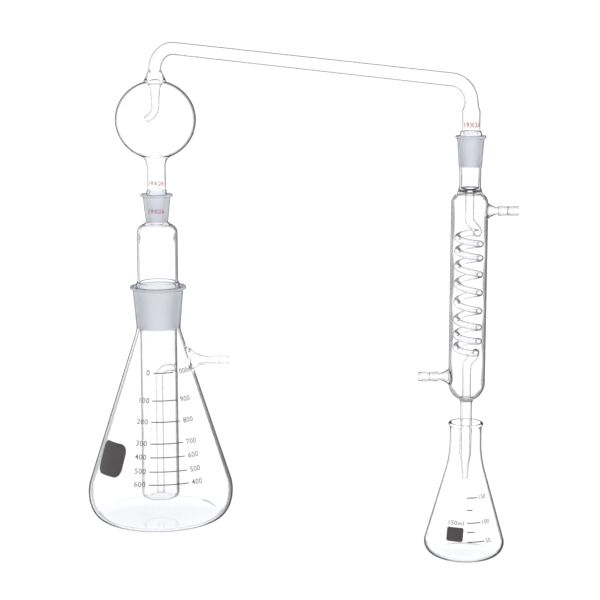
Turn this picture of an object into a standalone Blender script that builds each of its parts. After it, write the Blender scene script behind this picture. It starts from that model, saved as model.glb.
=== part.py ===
"""Steam distillation apparatus in blown borosilicate glass, for Blender 4.5.

A conical steam flask carries a reaction chamber in its ground neck. A splash head stands in the
chamber, and its bridge tube leads down to a coil condenser, which drips into a receiver flask.
Each separable glass piece is an empty with its blanks parented to it. Every blank is one closed
solid, and neighbouring blanks that are sealed together in the glass keep SEAL_GAP between them.

Metres, +Z up. The origin is the centre of the steam flask's base. The steam flask, the chamber and
the splash head share the vertical axis through it.
"""

import math

import bmesh
import bpy
from mathutils import Matrix, Vector

MM = 0.001

# Clearances
SEAL_GAP = 0.3 * MM  # between two blanks that are fused in the glass
GROUND_GAP = 0.3 * MM  # between a ground cone and its socket

# Conical ground joints: radius at the wide end and ground length. They taper 1 in 10 on diameter.
GROUND_SLOPE = 0.05
BIG_JOINT_RADIUS = 20.0 * MM
BIG_JOINT_LENGTH = 38.0 * MM
SMALL_JOINT_RADIUS = 9.4 * MM
SMALL_JOINT_LENGTH = 26.0 * MM
LIP_HEIGHT = 3.2 * MM
LIP_FACE = 1.9 * MM  # height of the lip's outer edge
CONE_WALL = 1.9 * MM
CONE_COLLAR = 4.0 * MM  # from a socket's mouth up to where the cone has drawn in to its stem

# Sockets: wall at the mouth, wall at the foot, and how far the lip stands out from the wall
FLASK_SOCKET = (3.1 * MM, 2.0 * MM, 2.6 * MM)
CHAMBER_SOCKET = (3.0 * MM, 2.0 * MM, 2.2 * MM)
CONDENSER_SOCKET = (1.9 * MM, 1.6 * MM, 1.6 * MM)

# Steam flask
FLASK_RADIUS = 67.0 * MM
FLASK_HEEL = (14.0 * MM, 23.5 * MM)  # how far the rounded heel reaches across and up
FLASK_BODY_HEIGHT = 178.0 * MM
FLASK_WALL = 2.4 * MM
FLASK_NECK_BLEND = 7.0 * MM
FLASK_NECK_STRAIGHT = 2.5 * MM  # from the neck seal down to where the cone begins
FLASK_ARM_DROP = 31.2 * MM  # from the neck seal down to the side arm's axis
FLASK_ARM_REACH = 35.0 * MM  # from the flask's surface to the arm's mouth
FLASK_ARM_BASE_RADIUS = 9.5 * MM
FLASK_ARM_HOLE_RADIUS = 7.0 * MM

# Reaction chamber
CHAMBER_STEP = 0.6 * MM  # its wall stands in this far from the ground cone's lower end
CHAMBER_RADIUS = BIG_JOINT_RADIUS - GROUND_GAP - GROUND_SLOPE * BIG_JOINT_LENGTH - CHAMBER_STEP
CHAMBER_WALL = 1.8 * MM
CHAMBER_DEPTH = 161.4 * MM  # from the ground cone down to the bottom
CHAMBER_BOTTOM_HEIGHT = 6.0 * MM
CHAMBER_TOP_RADIUS = BIG_JOINT_RADIUS - 1.6 * MM
CHAMBER_TOP_HEIGHT = 53.7 * MM
CHAMBER_SHOULDER = 7.5 * MM

# Steam inlet tube inside the chamber
STEAM_TUBE_RADIUS = 3.25 * MM
STEAM_TUBE_WALL = 1.0 * MM
STEAM_HOLE_DROP = 38.2 * MM  # from the ground cone down to the hole in the chamber's wall
STEAM_TUBE_BEND = 9.0 * MM
STEAM_TUBE_CLEARANCE = 2.6 * MM  # from its mouth to the chamber's bottom

# Splash head
STEM_RADIUS = SMALL_JOINT_RADIUS - 1.0 * MM
STEM_WALL = 1.5 * MM
STEM_LENGTH = 24.4 * MM  # from the ground cone up to the bulb's neck
BULB_RADIUS = 36.3 * MM
BULB_HALF_HEIGHT = 35.2 * MM
BULB_WALL = 1.6 * MM
BULB_NECK_FLARE = 6.0 * MM
BULB_NECK_HEIGHT = 9.7 * MM
COLLAR_HEIGHT = 8.3 * MM  # above the bulb's crown
COLLAR_BASE_RADIUS = 10.2 * MM
COLLAR_WALL = 1.9 * MM
GUARD_TOP_RADIUS = 4.2 * MM
GUARD_END_RADIUS = 2.9 * MM
GUARD_WALL = 0.9 * MM
GUARD_DROP = 28.5 * MM  # from the bulb's top down to the elbow
GUARD_ELBOW = 12.0 * MM
GUARD_FOOT = 10.5 * MM
GUARD_LEAN = math.radians(58)

# Bridge tube
BRIDGE_RADIUS = 5.6 * MM
BRIDGE_WALL = 1.2 * MM
BRIDGE_SPAN = 294.0 * MM  # between the two vertical axes
BRIDGE_SWING = math.radians(22.5)  # it points this far towards -Y from +X
BRIDGE_SLOPE = math.radians(5.1)
BRIDGE_BEND = 18.5 * MM
BRIDGE_STRAIGHT = 1.5 * MM  # between each end of the tube and its bend
DELIVERY_STEM_RADIUS = SMALL_JOINT_RADIUS - 1.8 * MM
DELIVERY_STEM_LENGTH = 26.0 * MM
DELIVERY_SHOULDER = 5.0 * MM
DELIVERY_SEAL_STEP = 0.4 * MM  # the shoulder ends this much wider than the bridge tube

# Coil condenser
NECK_RADIUS = SMALL_JOINT_RADIUS - 0.3 * MM
NECK_WALL = 1.5 * MM
NECK_LENGTH = 18.4 * MM
JACKET_RADIUS = 15.5 * MM
JACKET_WALL = 1.5 * MM
JACKET_LENGTH = 181.0 * MM
JACKET_SHOULDER = 9.0 * MM
JACKET_SHOULDER_DROP = 2.0 * MM  # from the jacket's top down to the crest of its shoulder
JACKET_FOOT = 17.0 * MM
OUTLET_ARM_INSET = 18.0 * MM  # from the jacket's top to the arm's axis
INLET_ARM_INSET = 21.0 * MM  # from the jacket's foot to the arm's axis
ARM_REACH = 25.5 * MM
ARM_BASE_RADIUS = 6.6 * MM
ARM_HOLE_RADIUS = 3.5 * MM
LEAD_RADIUS = 3.75 * MM
LEAD_WALL = 1.1 * MM
COIL_TUBE_RADIUS = 2.75 * MM
COIL_TUBE_WALL = 0.8 * MM
COIL_CLEARANCE = 1.6 * MM  # from the coil to the jacket's inside
COIL_RADIUS = JACKET_RADIUS - JACKET_WALL - COIL_CLEARANCE - COIL_TUBE_RADIUS  # to its centreline
COIL_TURNS = 8
COIL_TOP_DROP = 35.0 * MM  # from the jacket's top to the first turn
COIL_FOOT_RISE = 40.5 * MM  # from the jacket's foot to the last turn
LEAD_SWING = COIL_RADIUS - 2.65 * MM  # how far the leads bend off the axis to meet the coil
LEAD_BEND_HEIGHT = 11.5 * MM
LEAD_PULL = 14.0 * MM  # how strongly a lead keeps to the axis before it bends off
LEAD_END_PULL = 12.0 * MM
LEAD_END_DIRECTION = Vector((0.15, 0.45, -1)).normalized()
LEAD_STRAIGHT = 0.8 * MM  # at the joint between a lead and the coil
COIL_START_PULL = 8.0 * MM  # how smoothly the coil takes over from the lead
COIL_END_CROWDING = 0.22  # how much closer the turns lie at the coil's ends
RING_SEAL_HEIGHT = 3.0 * MM
RING_SEAL_EDGE = 0.9 * MM  # thickness at the upper seal's rim
RING_SEAL_DISH = 1.2 * MM  # how far its middle lies under its rim
RING_SEAL_SEAT = 0.8 * MM  # how far the upper seal stands out past the lead it carries
DRIP_RADIUS = 4.95 * MM
DRIP_WALL = 1.2 * MM
DRIP_TIP_RADIUS = 2.5 * MM
DRIP_TIP_FLARE = 0.3 * MM  # from the tip to halfway up its taper
DRIP_TIP_LENGTH = 17.5 * MM
DRIP_DEPTH = 49.5 * MM  # the tip's depth below the receiver's rim
DRIP_STEM_LEAST = 12.0 * MM  # least clearance between the receiver's rim and the jacket

# Hose ends, the same on every arm
HOSE_END_LENGTH = 17.0 * MM
HOSE_RIDGE_RADIUS = 4.1 * MM
HOSE_TUBE_RADIUS = 3.4 * MM
HOSE_BORE_RADIUS = 2.3 * MM
HOSE_RIDGES = 2
HOSE_RIDGE_RISE = 2.1 * MM  # length over which a ridge reaches its full radius
HOSE_RIDGE_GAP = 0.85 * MM  # from a ridge's end to the next
HOSE_FUNNEL_WALL = 1.5 * MM

# Receiver flask
RECEIVER_RADIUS = 34.5 * MM
RECEIVER_HEEL = (10.5 * MM, 10.5 * MM)
RECEIVER_HEIGHT = 117.0 * MM
RECEIVER_NECK_RADIUS = 13.5 * MM
RECEIVER_NECK_LENGTH = 30.0 * MM
RECEIVER_WALL = 1.6 * MM
RECEIVER_NECK_BLEND = 18.0 * MM
RIM_BEAD_RADIUS = 1.5 * MM
RIM_ROLL = (0.5 * MM, 0.2 * MM)  # where the bead closes on the bore, out from it and down

# Facets round a turned piece and along its curves
BIG_FACETS = 24
FACETS = 20
ARM_FACETS = 14
TUBE_SIDES = 10
COIL_SIDES = 6
COIL_STEPS_PER_TURN = 12

CUTTER_PAST = 4.0 * MM  # how far a cutter runs past what it cuts
ARM_SINK = 7.0 * MM  # how far an arm runs into its shell before it is trimmed


# ---------------------------------------------------------------- profiles and paths


def arc(centre, radius, start, end, steps):
    """Points (r, z) on an arc in the section plane, angles in degrees from +r towards +z."""
    turns = [math.radians(start + (end - start) * i / steps) for i in range(steps + 1)]
    return [(centre[0] + radius * math.cos(t), centre[1] + radius * math.sin(t)) for t in turns]


def ellipse(centre, across, up, start, end, steps):
    """Points (r, z) on an ellipse in the section plane, angles in degrees."""
    turns = [math.radians(start + (end - start) * i / steps) for i in range(steps + 1)]
    return [(centre[0] + across * math.cos(t), centre[1] + up * math.sin(t)) for t in turns]


def offset(outline, distance):
    """The outline moved to its left by distance. Left of an outline drawn upwards is inwards."""
    points = [Vector(p) for p in outline]
    moved = []
    for i, point in enumerate(points):
        if point.x == 0:
            moved.append((0, point.y + distance))
            continue
        before = point - points[i - 1] if i else points[1] - point
        after = points[i + 1] - point if i + 1 < len(points) else before
        left = [Vector((-d.y, d.x)).normalized() for d in (before, after)]
        middle = (left[0] + left[1]).normalized()
        moved.append(tuple(point + middle * (distance / middle.dot(left[0]))))
    return moved


def walled(outline, wall):
    """The closed section of a shell: the outer outline, drawn upwards, and the wall inside it."""
    return list(outline) + offset(outline, wall)[::-1]


def curved(start, corner, end, steps):
    """Points from start to end on a curve that leaves and arrives towards the corner."""
    path = []
    for i in range(steps + 1):
        t = i / steps
        point = (1 - t) ** 2 * Vector(start) + 2 * t * (1 - t) * Vector(corner) + t * t * Vector(end)
        path.append(tuple(point))
    return path


def filleted(corners, radius, steps=6):
    """A 3-D path through the corners, with each inner one rounded to the radius."""
    path = [Vector(corners[0])]
    for before, corner, after in zip(corners, corners[1:], corners[2:]):
        corner = Vector(corner)
        back = (Vector(before) - corner).normalized()
        on = (Vector(after) - corner).normalized()
        half = back.angle(on) / 2
        centre = corner + (back + on).normalized() * (radius / math.sin(half))
        first = corner + back * (radius / math.tan(half)) - centre
        last = corner + on * (radius / math.tan(half)) - centre
        path += [centre + first.slerp(last, i / steps) * radius for i in range(steps + 1)]
    return path + [Vector(corners[-1])]


def hermite(start, start_pull, end, end_pull, steps):
    """A 3-D path between two points that leaves and arrives along the given pulls, ends left out."""
    path = []
    for i in range(1, steps):
        t = i / steps
        path.append(
            (2 * t**3 - 3 * t**2 + 1) * start
            + (t**3 - 2 * t**2 + t) * start_pull
            + (3 * t**2 - 2 * t**3) * end
            + (t**3 - t**2) * end_pull
        )
    return path


# ---------------------------------------------------------------- materials and objects


def glass(name, roughness, tint):
    material = bpy.data.materials.new(name)
    material.use_nodes = True
    shader = material.node_tree.nodes["Principled BSDF"]
    shader.inputs["Base Color"].default_value = (*tint, 1.0)
    shader.inputs["Roughness"].default_value = roughness
    shader.inputs["Metallic"].default_value = 0.0
    shader.inputs["Transmission Weight"].default_value = 1.0
    shader.inputs["IOR"].default_value = 1.473
    return material


def empty(name, location):
    body = bpy.data.objects.new(name, None)
    body.empty_display_size = 20 * MM
    body.location = location
    bpy.context.scene.collection.objects.link(body)
    return body


def added(name, bm, material, parent, location=(0, 0, 0), rotation=(0, 0, 0)):
    """Makes the bmesh an object with outward faces, shaded smooth except at sharp edges."""
    bmesh.ops.recalc_face_normals(bm, faces=bm.faces)
    mesh = bpy.data.meshes.new(name)
    bm.to_mesh(mesh)
    bm.free()
    mesh.materials.append(material)
    mesh.shade_smooth()
    mesh.set_sharp_from_angle(angle=math.radians(40))
    piece = bpy.data.objects.new(name, mesh)
    bpy.context.scene.collection.objects.link(piece)
    piece.parent = parent
    piece.location = location
    piece.rotation_euler = rotation
    return piece


def spun(section, facets):
    """A bmesh turned about Z from a section of (r, z) points. A section with an end on the axis is
    an open line, and any other closes on itself."""
    bm = bmesh.new()
    verts = [bm.verts.new((r, 0, z)) for r, z in section]
    edges = [bm.edges.new(pair) for pair in zip(verts, verts[1:])]
    if min(section[0][0], section[-1][0]) > 1e-7:
        edges.append(bm.edges.new((verts[-1], verts[0])))
    bmesh.ops.spin(
        bm, geom=verts + edges, axis=(0, 0, 1), cent=(0, 0, 0), steps=facets, angle=2 * math.pi
    )
    bmesh.ops.remove_doubles(bm, verts=bm.verts, dist=1e-6)
    return bm


def turned(name, section, facets, material, parent, location=(0, 0, 0), rotation=(0, 0, 0)):
    return added(name, spun(section, facets), material, parent, location, rotation)


def frames_along(path):
    """(point, across, beside) at each point, with the sections turned as little as possible."""
    last = len(path) - 1
    tangents = [(path[min(i + 1, last)] - path[max(i - 1, 0)]).normalized() for i in range(last + 1)]
    across = tangents[0].orthogonal().normalized()
    frames = []
    for i, (point, tangent) in enumerate(zip(path, tangents)):
        if i:
            across = tangents[i - 1].rotation_difference(tangent) @ across
        frames.append((point, across, tangent.cross(across)))
    return frames


def piped(name, path, radii, wall, sides, material, parent):
    """A hollow tube along a path. radii holds the outer radius at each point of it."""
    bm = bmesh.new()
    turns = [2 * math.pi * k / sides for k in range(sides)]
    skins = []
    for inset in (0, wall):
        rings = []
        for (point, across, beside), radius in zip(frames_along(path), radii):
            r = radius - inset
            rings.append(
                [
                    bm.verts.new(point + across * (r * math.cos(t)) + beside * (r * math.sin(t)))
                    for t in turns
                ]
            )
        skins.append(rings)
    loops = skins[0] + skins[1][::-1]
    for ring, following in zip(loops, loops[1:] + loops[:1]):
        for k in range(sides):
            m = (k + 1) % sides
            bm.faces.new((ring[k], ring[m], following[m], following[k]))
    return added(name, bm, material, parent)


def cut(piece, cutter):
    """Takes the cutter out of the piece, and hides the cutter."""
    modifier = piece.modifiers.new("cut", "BOOLEAN")
    modifier.operation = "DIFFERENCE"
    modifier.solver = "EXACT"
    modifier.object = cutter
    cutter.hide_render = True
    cutter.display_type = "WIRE"


def drill(name, piece, radius, height, reach, side, parent):
    """Cuts a round hole along X through one wall of the piece. side is 1 for +X and -1 for -X."""
    bm = bmesh.new()
    bmesh.ops.create_cone(
        bm,
        cap_ends=True,
        segments=ARM_FACETS,
        radius1=radius,
        radius2=radius,
        depth=reach,
        matrix=Matrix.Translation((side * reach / 2, 0, height)) @ Matrix.Rotation(math.pi / 2, 4, "Y"),
    )
    cut(piece, added(name, bm, piece.data.materials[0], parent))


# ---------------------------------------------------------------- shared glass shapes


def socket_section(bottom, radius, length, socket):
    """A ground socket with a flared lip. radius is the bore's at its mouth."""
    mouth_wall, foot_wall, lip_reach = socket
    top = bottom + length
    foot_bore = radius - GROUND_SLOPE * length
    lip = radius + mouth_wall + lip_reach
    return [
        (foot_bore, bottom),
        (foot_bore + foot_wall, bottom),
        (radius + mouth_wall, top - LIP_HEIGHT),
        (lip, top - LIP_FACE),
        (lip, top),
        (radius, top),
    ]


def cone_section(bottom, radius, length, stem_radius, stem_top, stem_wall):
    """A ground cone that seats in that socket, drawn in to a straight stem above it."""
    large = radius - GROUND_GAP
    small = large - GROUND_SLOPE * length
    shoulder = bottom + length
    drawn = shoulder + CONE_COLLAR
    bore = stem_radius - stem_wall
    outer = [(small, bottom), (large, shoulder), (stem_radius, drawn)]
    inner = [(bore, drawn), (small - CONE_WALL, bottom)]
    if stem_top > drawn:
        outer += [(stem_radius, stem_top)]
        inner = [(bore, stem_top)] + inner
    return outer + inner


def conical_flask_outline(radius, heel, neck_radius, neck_bottom, top, blend):
    """Outer outline of a conical flask: flat base, round heel, straight cone and blended neck."""
    across, up = heel
    centre = Vector((radius - across, up))
    corner = Vector((neck_radius, neck_bottom))
    angle = heel_tangent(centre, heel, corner)
    outline = [(0, 0)] + ellipse(centre, across, up, -90, angle, 5)
    # The blend is an arc that leaves the cone's straight side and arrives upright on the neck.
    line = (corner - Vector(outline[-1])).normalized()
    turn = math.atan2(-line.x, line.y)
    reach = blend * math.tan(turn / 2)
    hub = (neck_radius + blend, neck_bottom + reach)
    outline += arc(hub, blend, 180 + math.degrees(turn), 180, 3)
    return outline + [(neck_radius, top)]


def heel_tangent(centre, heel, corner):
    """Angle, in degrees, where the line from the corner touches the outside of the heel's ellipse."""
    across, up = heel
    x, y = (corner.x - centre.x) / across, (corner.y - centre.y) / up
    return math.degrees(math.atan2(y, x) - math.acos(1 / math.hypot(x, y)))


def hose_arm_section(start, reach, base_radius, throat):
    """A side arm: a funnel from start, then a hose end with ridges, up to start + reach."""
    mouth = start + reach
    ridge = HOSE_END_LENGTH / HOSE_RIDGES
    outer = [(base_radius, start - ARM_SINK), (base_radius, start)]
    outer += [(HOSE_RIDGE_RADIUS, start + throat)]
    for i in range(HOSE_RIDGES):
        low = mouth - HOSE_END_LENGTH + i * ridge
        outer.append((HOSE_TUBE_RADIUS, low))
        outer.append((HOSE_RIDGE_RADIUS, low + HOSE_RIDGE_RISE))
        outer.append((HOSE_RIDGE_RADIUS, low + ridge - HOSE_RIDGE_GAP))
    outer.append((HOSE_TUBE_RADIUS, mouth))
    inner = [(HOSE_BORE_RADIUS, mouth), (HOSE_BORE_RADIUS, start + throat)]
    funnel = base_radius - HOSE_FUNNEL_WALL
    return outer + inner + [(funnel, start), (funnel, start - ARM_SINK)]


def side_arm(name, wall_radius, reach, base_radius, throat, height, side, trimmer, material, parent):
    """A hollow hose arm along X, trimmed to stand off the shell that it is sealed to."""
    section = hose_arm_section(wall_radius, reach, base_radius, throat)
    arm = turned(
        name, section, ARM_FACETS, material, parent, (0, 0, height), (0, side * math.pi / 2, 0)
    )
    cut(arm, trimmer)
    return arm


# ---------------------------------------------------------------- heights and places


def levels():
    """Heights of the seals between the pieces. The taller of the two stacks sets the bridge."""
    z = {}
    z["neck"] = FLASK_BODY_HEIGHT
    z["big_joint"] = z["neck"] + SEAL_GAP
    z["big_mouth"] = z["big_joint"] + BIG_JOINT_LENGTH
    z["chamber_foot"] = z["big_joint"] - SEAL_GAP - CHAMBER_DEPTH
    z["chamber_top"] = z["big_mouth"] + CONE_COLLAR
    z["chamber_shoulder"] = z["chamber_top"] + SEAL_GAP + CHAMBER_TOP_HEIGHT
    z["small_joint"] = z["chamber_shoulder"] + SEAL_GAP
    z["stem_top"] = z["small_joint"] + SMALL_JOINT_LENGTH + STEM_LENGTH
    flare = (STEM_RADIUS + BULB_NECK_FLARE) / BULB_RADIUS
    lower_half = BULB_HALF_HEIGHT * math.sqrt(1 - flare**2)
    z["bulb"] = z["stem_top"] + SEAL_GAP + BULB_NECK_HEIGHT + lower_half
    z["crown"] = z["bulb"] + BULB_HALF_HEIGHT
    fall = BRIDGE_SPAN * math.tan(BRIDGE_SLOPE)
    left_bend = BRIDGE_BEND * math.tan((math.pi / 2 + BRIDGE_SLOPE) / 2) + BRIDGE_STRAIGHT
    right_bend = BRIDGE_BEND * math.tan((math.pi / 2 - BRIDGE_SLOPE) / 2) + BRIDGE_STRAIGHT
    hanging = right_bend + DELIVERY_STEM_LENGTH + SMALL_JOINT_LENGTH
    hanging += NECK_LENGTH + JACKET_LENGTH + 2 * SEAL_GAP
    left_stack = z["crown"] + COLLAR_HEIGHT + left_bend
    right_stack = RECEIVER_HEIGHT + DRIP_STEM_LEAST + hanging + fall
    z["bridge"] = max(left_stack, right_stack)
    z["delivery"] = z["bridge"] - fall - right_bend
    z["condenser_joint"] = z["delivery"] - DELIVERY_STEM_LENGTH - SMALL_JOINT_LENGTH
    z["condenser_neck"] = z["condenser_joint"] - SEAL_GAP
    z["jacket_top"] = z["condenser_neck"] - NECK_LENGTH - SEAL_GAP
    z["jacket_foot"] = z["jacket_top"] - JACKET_LENGTH
    z["tip"] = RECEIVER_HEIGHT - DRIP_DEPTH
    return z


Z = levels()
CONDENSER_X = BRIDGE_SPAN * math.cos(BRIDGE_SWING)
CONDENSER_Y = -BRIDGE_SPAN * math.sin(BRIDGE_SWING)


# ---------------------------------------------------------------- steam flask


def flask_outline():
    neck_radius = BIG_JOINT_RADIUS - GROUND_SLOPE * BIG_JOINT_LENGTH + FLASK_SOCKET[1]
    neck_bottom = Z["neck"] - FLASK_NECK_STRAIGHT
    return conical_flask_outline(
        FLASK_RADIUS, FLASK_HEEL, neck_radius, neck_bottom, Z["neck"], FLASK_NECK_BLEND
    )


def radius_at(outline, height):
    """The outline's radius at a height above its heel."""
    for (r0, z0), (r1, z1) in zip(outline, outline[1:]):
        if z0 <= height <= z1 and z1 > z0 and z0 > 0:
            return r0 + (r1 - r0) * (height - z0) / (z1 - z0)
    return outline[-1][0]


def build_steam_flask(clear, ground):
    body = empty("steam_flask", (0, 0, 0))
    outline = flask_outline()
    shell = turned("flask_shell", walled(outline, FLASK_WALL), BIG_FACETS, clear, body)
    arm_height = Z["neck"] - FLASK_ARM_DROP
    surface = radius_at(outline, arm_height)
    drill("arm_hole", shell, FLASK_ARM_HOLE_RADIUS, arm_height, surface + CUTTER_PAST, 1, body)
    standing_off = [(0, -SEAL_GAP)] + offset(outline, -SEAL_GAP)[1:]
    standing_off += [(0, standing_off[-1][1])]
    trimmer = turned("arm_trimmer", standing_off, BIG_FACETS, clear, body)
    side_arm(
        "flask_side_arm",
        surface,
        FLASK_ARM_REACH,
        FLASK_ARM_BASE_RADIUS,
        FLASK_ARM_REACH - HOSE_END_LENGTH,
        arm_height,
        1,
        trimmer,
        clear,
        body,
    )
    section = socket_section(Z["big_joint"], BIG_JOINT_RADIUS, BIG_JOINT_LENGTH, FLASK_SOCKET)
    turned("flask_ground_socket", section, BIG_FACETS, ground, body)


# ---------------------------------------------------------------- reaction chamber


def build_chamber(clear, ground):
    body = empty("reaction_chamber", (0, 0, 0))
    top = Z["big_joint"] - SEAL_GAP
    bottom = Z["chamber_foot"]
    outline = ellipse(
        (0, bottom + CHAMBER_BOTTOM_HEIGHT), CHAMBER_RADIUS, CHAMBER_BOTTOM_HEIGHT, -90, 0, 6
    )
    outline[0] = (0, bottom)
    outline += [(CHAMBER_RADIUS, top)]
    vessel = turned("chamber_vessel", walled(outline, CHAMBER_WALL), FACETS, clear, body)
    hole_height = Z["big_joint"] - STEAM_HOLE_DROP
    bore = STEAM_TUBE_RADIUS - STEAM_TUBE_WALL
    drill("steam_hole", vessel, bore, hole_height, CHAMBER_RADIUS + CUTTER_PAST, 1, body)

    cone = cone_section(
        Z["big_joint"],
        BIG_JOINT_RADIUS,
        BIG_JOINT_LENGTH,
        CHAMBER_TOP_RADIUS,
        Z["chamber_top"],
        CHAMBER_WALL,
    )
    turned("chamber_ground_cone", cone, BIG_FACETS, ground, body)

    foot = Z["chamber_top"] + SEAL_GAP
    ceiling = Z["chamber_shoulder"]
    neck = SMALL_JOINT_RADIUS - GROUND_SLOPE * SMALL_JOINT_LENGTH + CHAMBER_SOCKET[1]
    hub = (CHAMBER_TOP_RADIUS - CHAMBER_SHOULDER, ceiling - CHAMBER_SHOULDER)
    outline = [(CHAMBER_TOP_RADIUS, foot)] + arc(hub, CHAMBER_SHOULDER, 0, 80, 4)
    outline += [(neck, ceiling)]
    turned("chamber_upper_body", walled(outline, CHAMBER_WALL), FACETS, clear, body)

    section = socket_section(Z["small_joint"], SMALL_JOINT_RADIUS, SMALL_JOINT_LENGTH, CHAMBER_SOCKET)
    turned("chamber_ground_socket", section, FACETS, ground, body)

    inside = CHAMBER_RADIUS - CHAMBER_WALL
    start = math.sqrt((inside - SEAL_GAP) ** 2 - STEAM_TUBE_RADIUS**2)
    mouth = bottom + CHAMBER_WALL + STEAM_TUBE_CLEARANCE
    corners = [(start, 0, hole_height), (0, 0, hole_height), (0, 0, mouth)]
    path = filleted(corners, STEAM_TUBE_BEND)
    radii = [STEAM_TUBE_RADIUS] * len(path)
    piped("steam_inlet_tube", path, radii, STEAM_TUBE_WALL, TUBE_SIDES, clear, body)


# ---------------------------------------------------------------- splash head and bridge


def build_splash_head(clear, ground):
    body = empty("splash_head", (0, 0, 0))
    cone = cone_section(
        Z["small_joint"],
        SMALL_JOINT_RADIUS,
        SMALL_JOINT_LENGTH,
        STEM_RADIUS,
        Z["stem_top"],
        STEM_WALL,
    )
    turned("head_ground_cone", cone, FACETS, ground, body)

    # The bulb's neck leaves the stem upright and runs into the bulb's ellipse.
    foot = math.asin((STEM_RADIUS + BULB_NECK_FLARE) / BULB_RADIUS)
    crown = math.acos(COLLAR_BASE_RADIUS / BULB_RADIUS)
    centre = (0, Z["bulb"])
    globe = ellipse(
        centre, BULB_RADIUS, BULB_HALF_HEIGHT, math.degrees(foot) - 90, math.degrees(crown), 10
    )
    slope = BULB_HALF_HEIGHT / BULB_RADIUS * math.tan(foot)
    corner = (STEM_RADIUS, globe[0][1] - BULB_NECK_FLARE * slope)
    outline = curved((STEM_RADIUS, Z["stem_top"] + SEAL_GAP), corner, globe[0], 3) + globe[1:]
    turned("splash_bulb", walled(outline, BULB_WALL), BIG_FACETS, clear, body)

    seat = globe[-1][1] + SEAL_GAP
    collar_top = Z["crown"] + COLLAR_HEIGHT - SEAL_GAP
    bore = BRIDGE_RADIUS - BRIDGE_WALL
    section = [(COLLAR_BASE_RADIUS, seat), (bore + COLLAR_WALL, collar_top), (bore, collar_top)]
    section += [(GUARD_TOP_RADIUS + SEAL_GAP, seat)]
    turned("bulb_collar", section, FACETS, clear, body)

    elbow = seat - GUARD_DROP
    lean = Vector((-math.sin(GUARD_LEAN), 0, -math.cos(GUARD_LEAN)))
    corners = [Vector((0, 0, seat)), Vector((0, 0, elbow))]
    corners += [corners[1] + lean * GUARD_FOOT]
    path = filleted(corners, GUARD_ELBOW)
    shrink = (GUARD_TOP_RADIUS - GUARD_END_RADIUS) / (len(path) - 1)
    radii = [GUARD_TOP_RADIUS - shrink * i for i in range(len(path))]
    piped("splash_guard_tube", path, radii, GUARD_WALL, TUBE_SIDES, clear, body)

    fall = BRIDGE_SPAN * math.tan(BRIDGE_SLOPE)
    corners = [
        Vector((0, 0, collar_top + SEAL_GAP)),
        Vector((0, 0, Z["bridge"])),
        Vector((CONDENSER_X, CONDENSER_Y, Z["bridge"] - fall)),
        Vector((CONDENSER_X, CONDENSER_Y, Z["delivery"])),
    ]
    path = filleted(corners, BRIDGE_BEND, 8)
    radii = [BRIDGE_RADIUS] * len(path)
    piped("bridge_tube", path, radii, BRIDGE_WALL, TUBE_SIDES, clear, body)

    # The delivery cone's shoulder draws in to the bridge tube's size.
    top = Z["delivery"] - SEAL_GAP
    cone = cone_section(
        Z["condenser_joint"],
        SMALL_JOINT_RADIUS,
        SMALL_JOINT_LENGTH,
        DELIVERY_STEM_RADIUS,
        top - DELIVERY_SHOULDER,
        STEM_WALL,
    )
    at = cone.index((DELIVERY_STEM_RADIUS, top - DELIVERY_SHOULDER)) + 1
    cone[at:at] = [(BRIDGE_RADIUS + DELIVERY_SEAL_STEP, top), (BRIDGE_RADIUS - BRIDGE_WALL, top)]
    turned("delivery_ground_cone", cone, FACETS, ground, body, (CONDENSER_X, CONDENSER_Y, 0))


# ---------------------------------------------------------------- coil condenser


def jacket_outline():
    top, foot = Z["jacket_top"], Z["jacket_foot"]
    hub = (JACKET_RADIUS - JACKET_SHOULDER, top - JACKET_SHOULDER - JACKET_SHOULDER_DROP)
    shoulder = arc(hub, JACKET_SHOULDER, 0, 60, 4)
    drawn = ellipse((0, foot + JACKET_FOOT), JACKET_RADIUS, JACKET_FOOT, -66, 0, 5)
    return drawn + shoulder + [(NECK_RADIUS + SEAL_GAP, top)]


def coil_point(turn):
    """A point of the coil's centreline. It winds down from +X through +Y."""
    start = Z["jacket_top"] - COIL_TOP_DROP
    height = start - (Z["jacket_foot"] + COIL_FOOT_RISE)
    u = turn / COIL_TURNS
    eased = u - COIL_END_CROWDING * math.sin(2 * math.pi * u) / (2 * math.pi)
    angle = 2 * math.pi * turn
    return Vector((COIL_RADIUS * math.cos(angle), COIL_RADIUS * math.sin(angle), start - height * eased))


def lead_path(seal_height):
    """The upper lead: down the axis from its seal, then off it to end over the coil's start."""
    end = Vector((LEAD_SWING, 0, coil_point(0).z))
    bend = Vector((0, 0, end.z + LEAD_BEND_HEIGHT))
    last = end - LEAD_END_DIRECTION * LEAD_STRAIGHT
    pull = Vector((0, 0, -LEAD_PULL))
    path = [Vector((0, 0, seal_height)), bend]
    return path + hermite(bend, pull, last, LEAD_END_DIRECTION * LEAD_END_PULL, 7) + [last, end]


def coil_path(end):
    """The upper half of the coil, from the lead's end to the middle of its height."""
    first = COIL_STEPS_PER_TURN // 6
    turns = range(first, COIL_TURNS * COIL_STEPS_PER_TURN // 2 + 1)
    helix = [coil_point(i / COIL_STEPS_PER_TURN) for i in turns]
    start = end + LEAD_END_DIRECTION * SEAL_GAP
    bend = start + LEAD_END_DIRECTION * LEAD_STRAIGHT
    leaving = LEAD_END_DIRECTION * COIL_START_PULL
    settling = (helix[1] - helix[0]).normalized() * COIL_START_PULL
    return [start, bend] + hermite(bend, leaving, helix[0], settling, 5) + helix


def upended(path):
    """The path turned end for end about the coil's middle, which is how its lower half lies."""
    doubled = coil_point(0).z + coil_point(COIL_TURNS).z
    return [Vector((p.x, -p.y, doubled - p.z)) for p in path]


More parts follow.
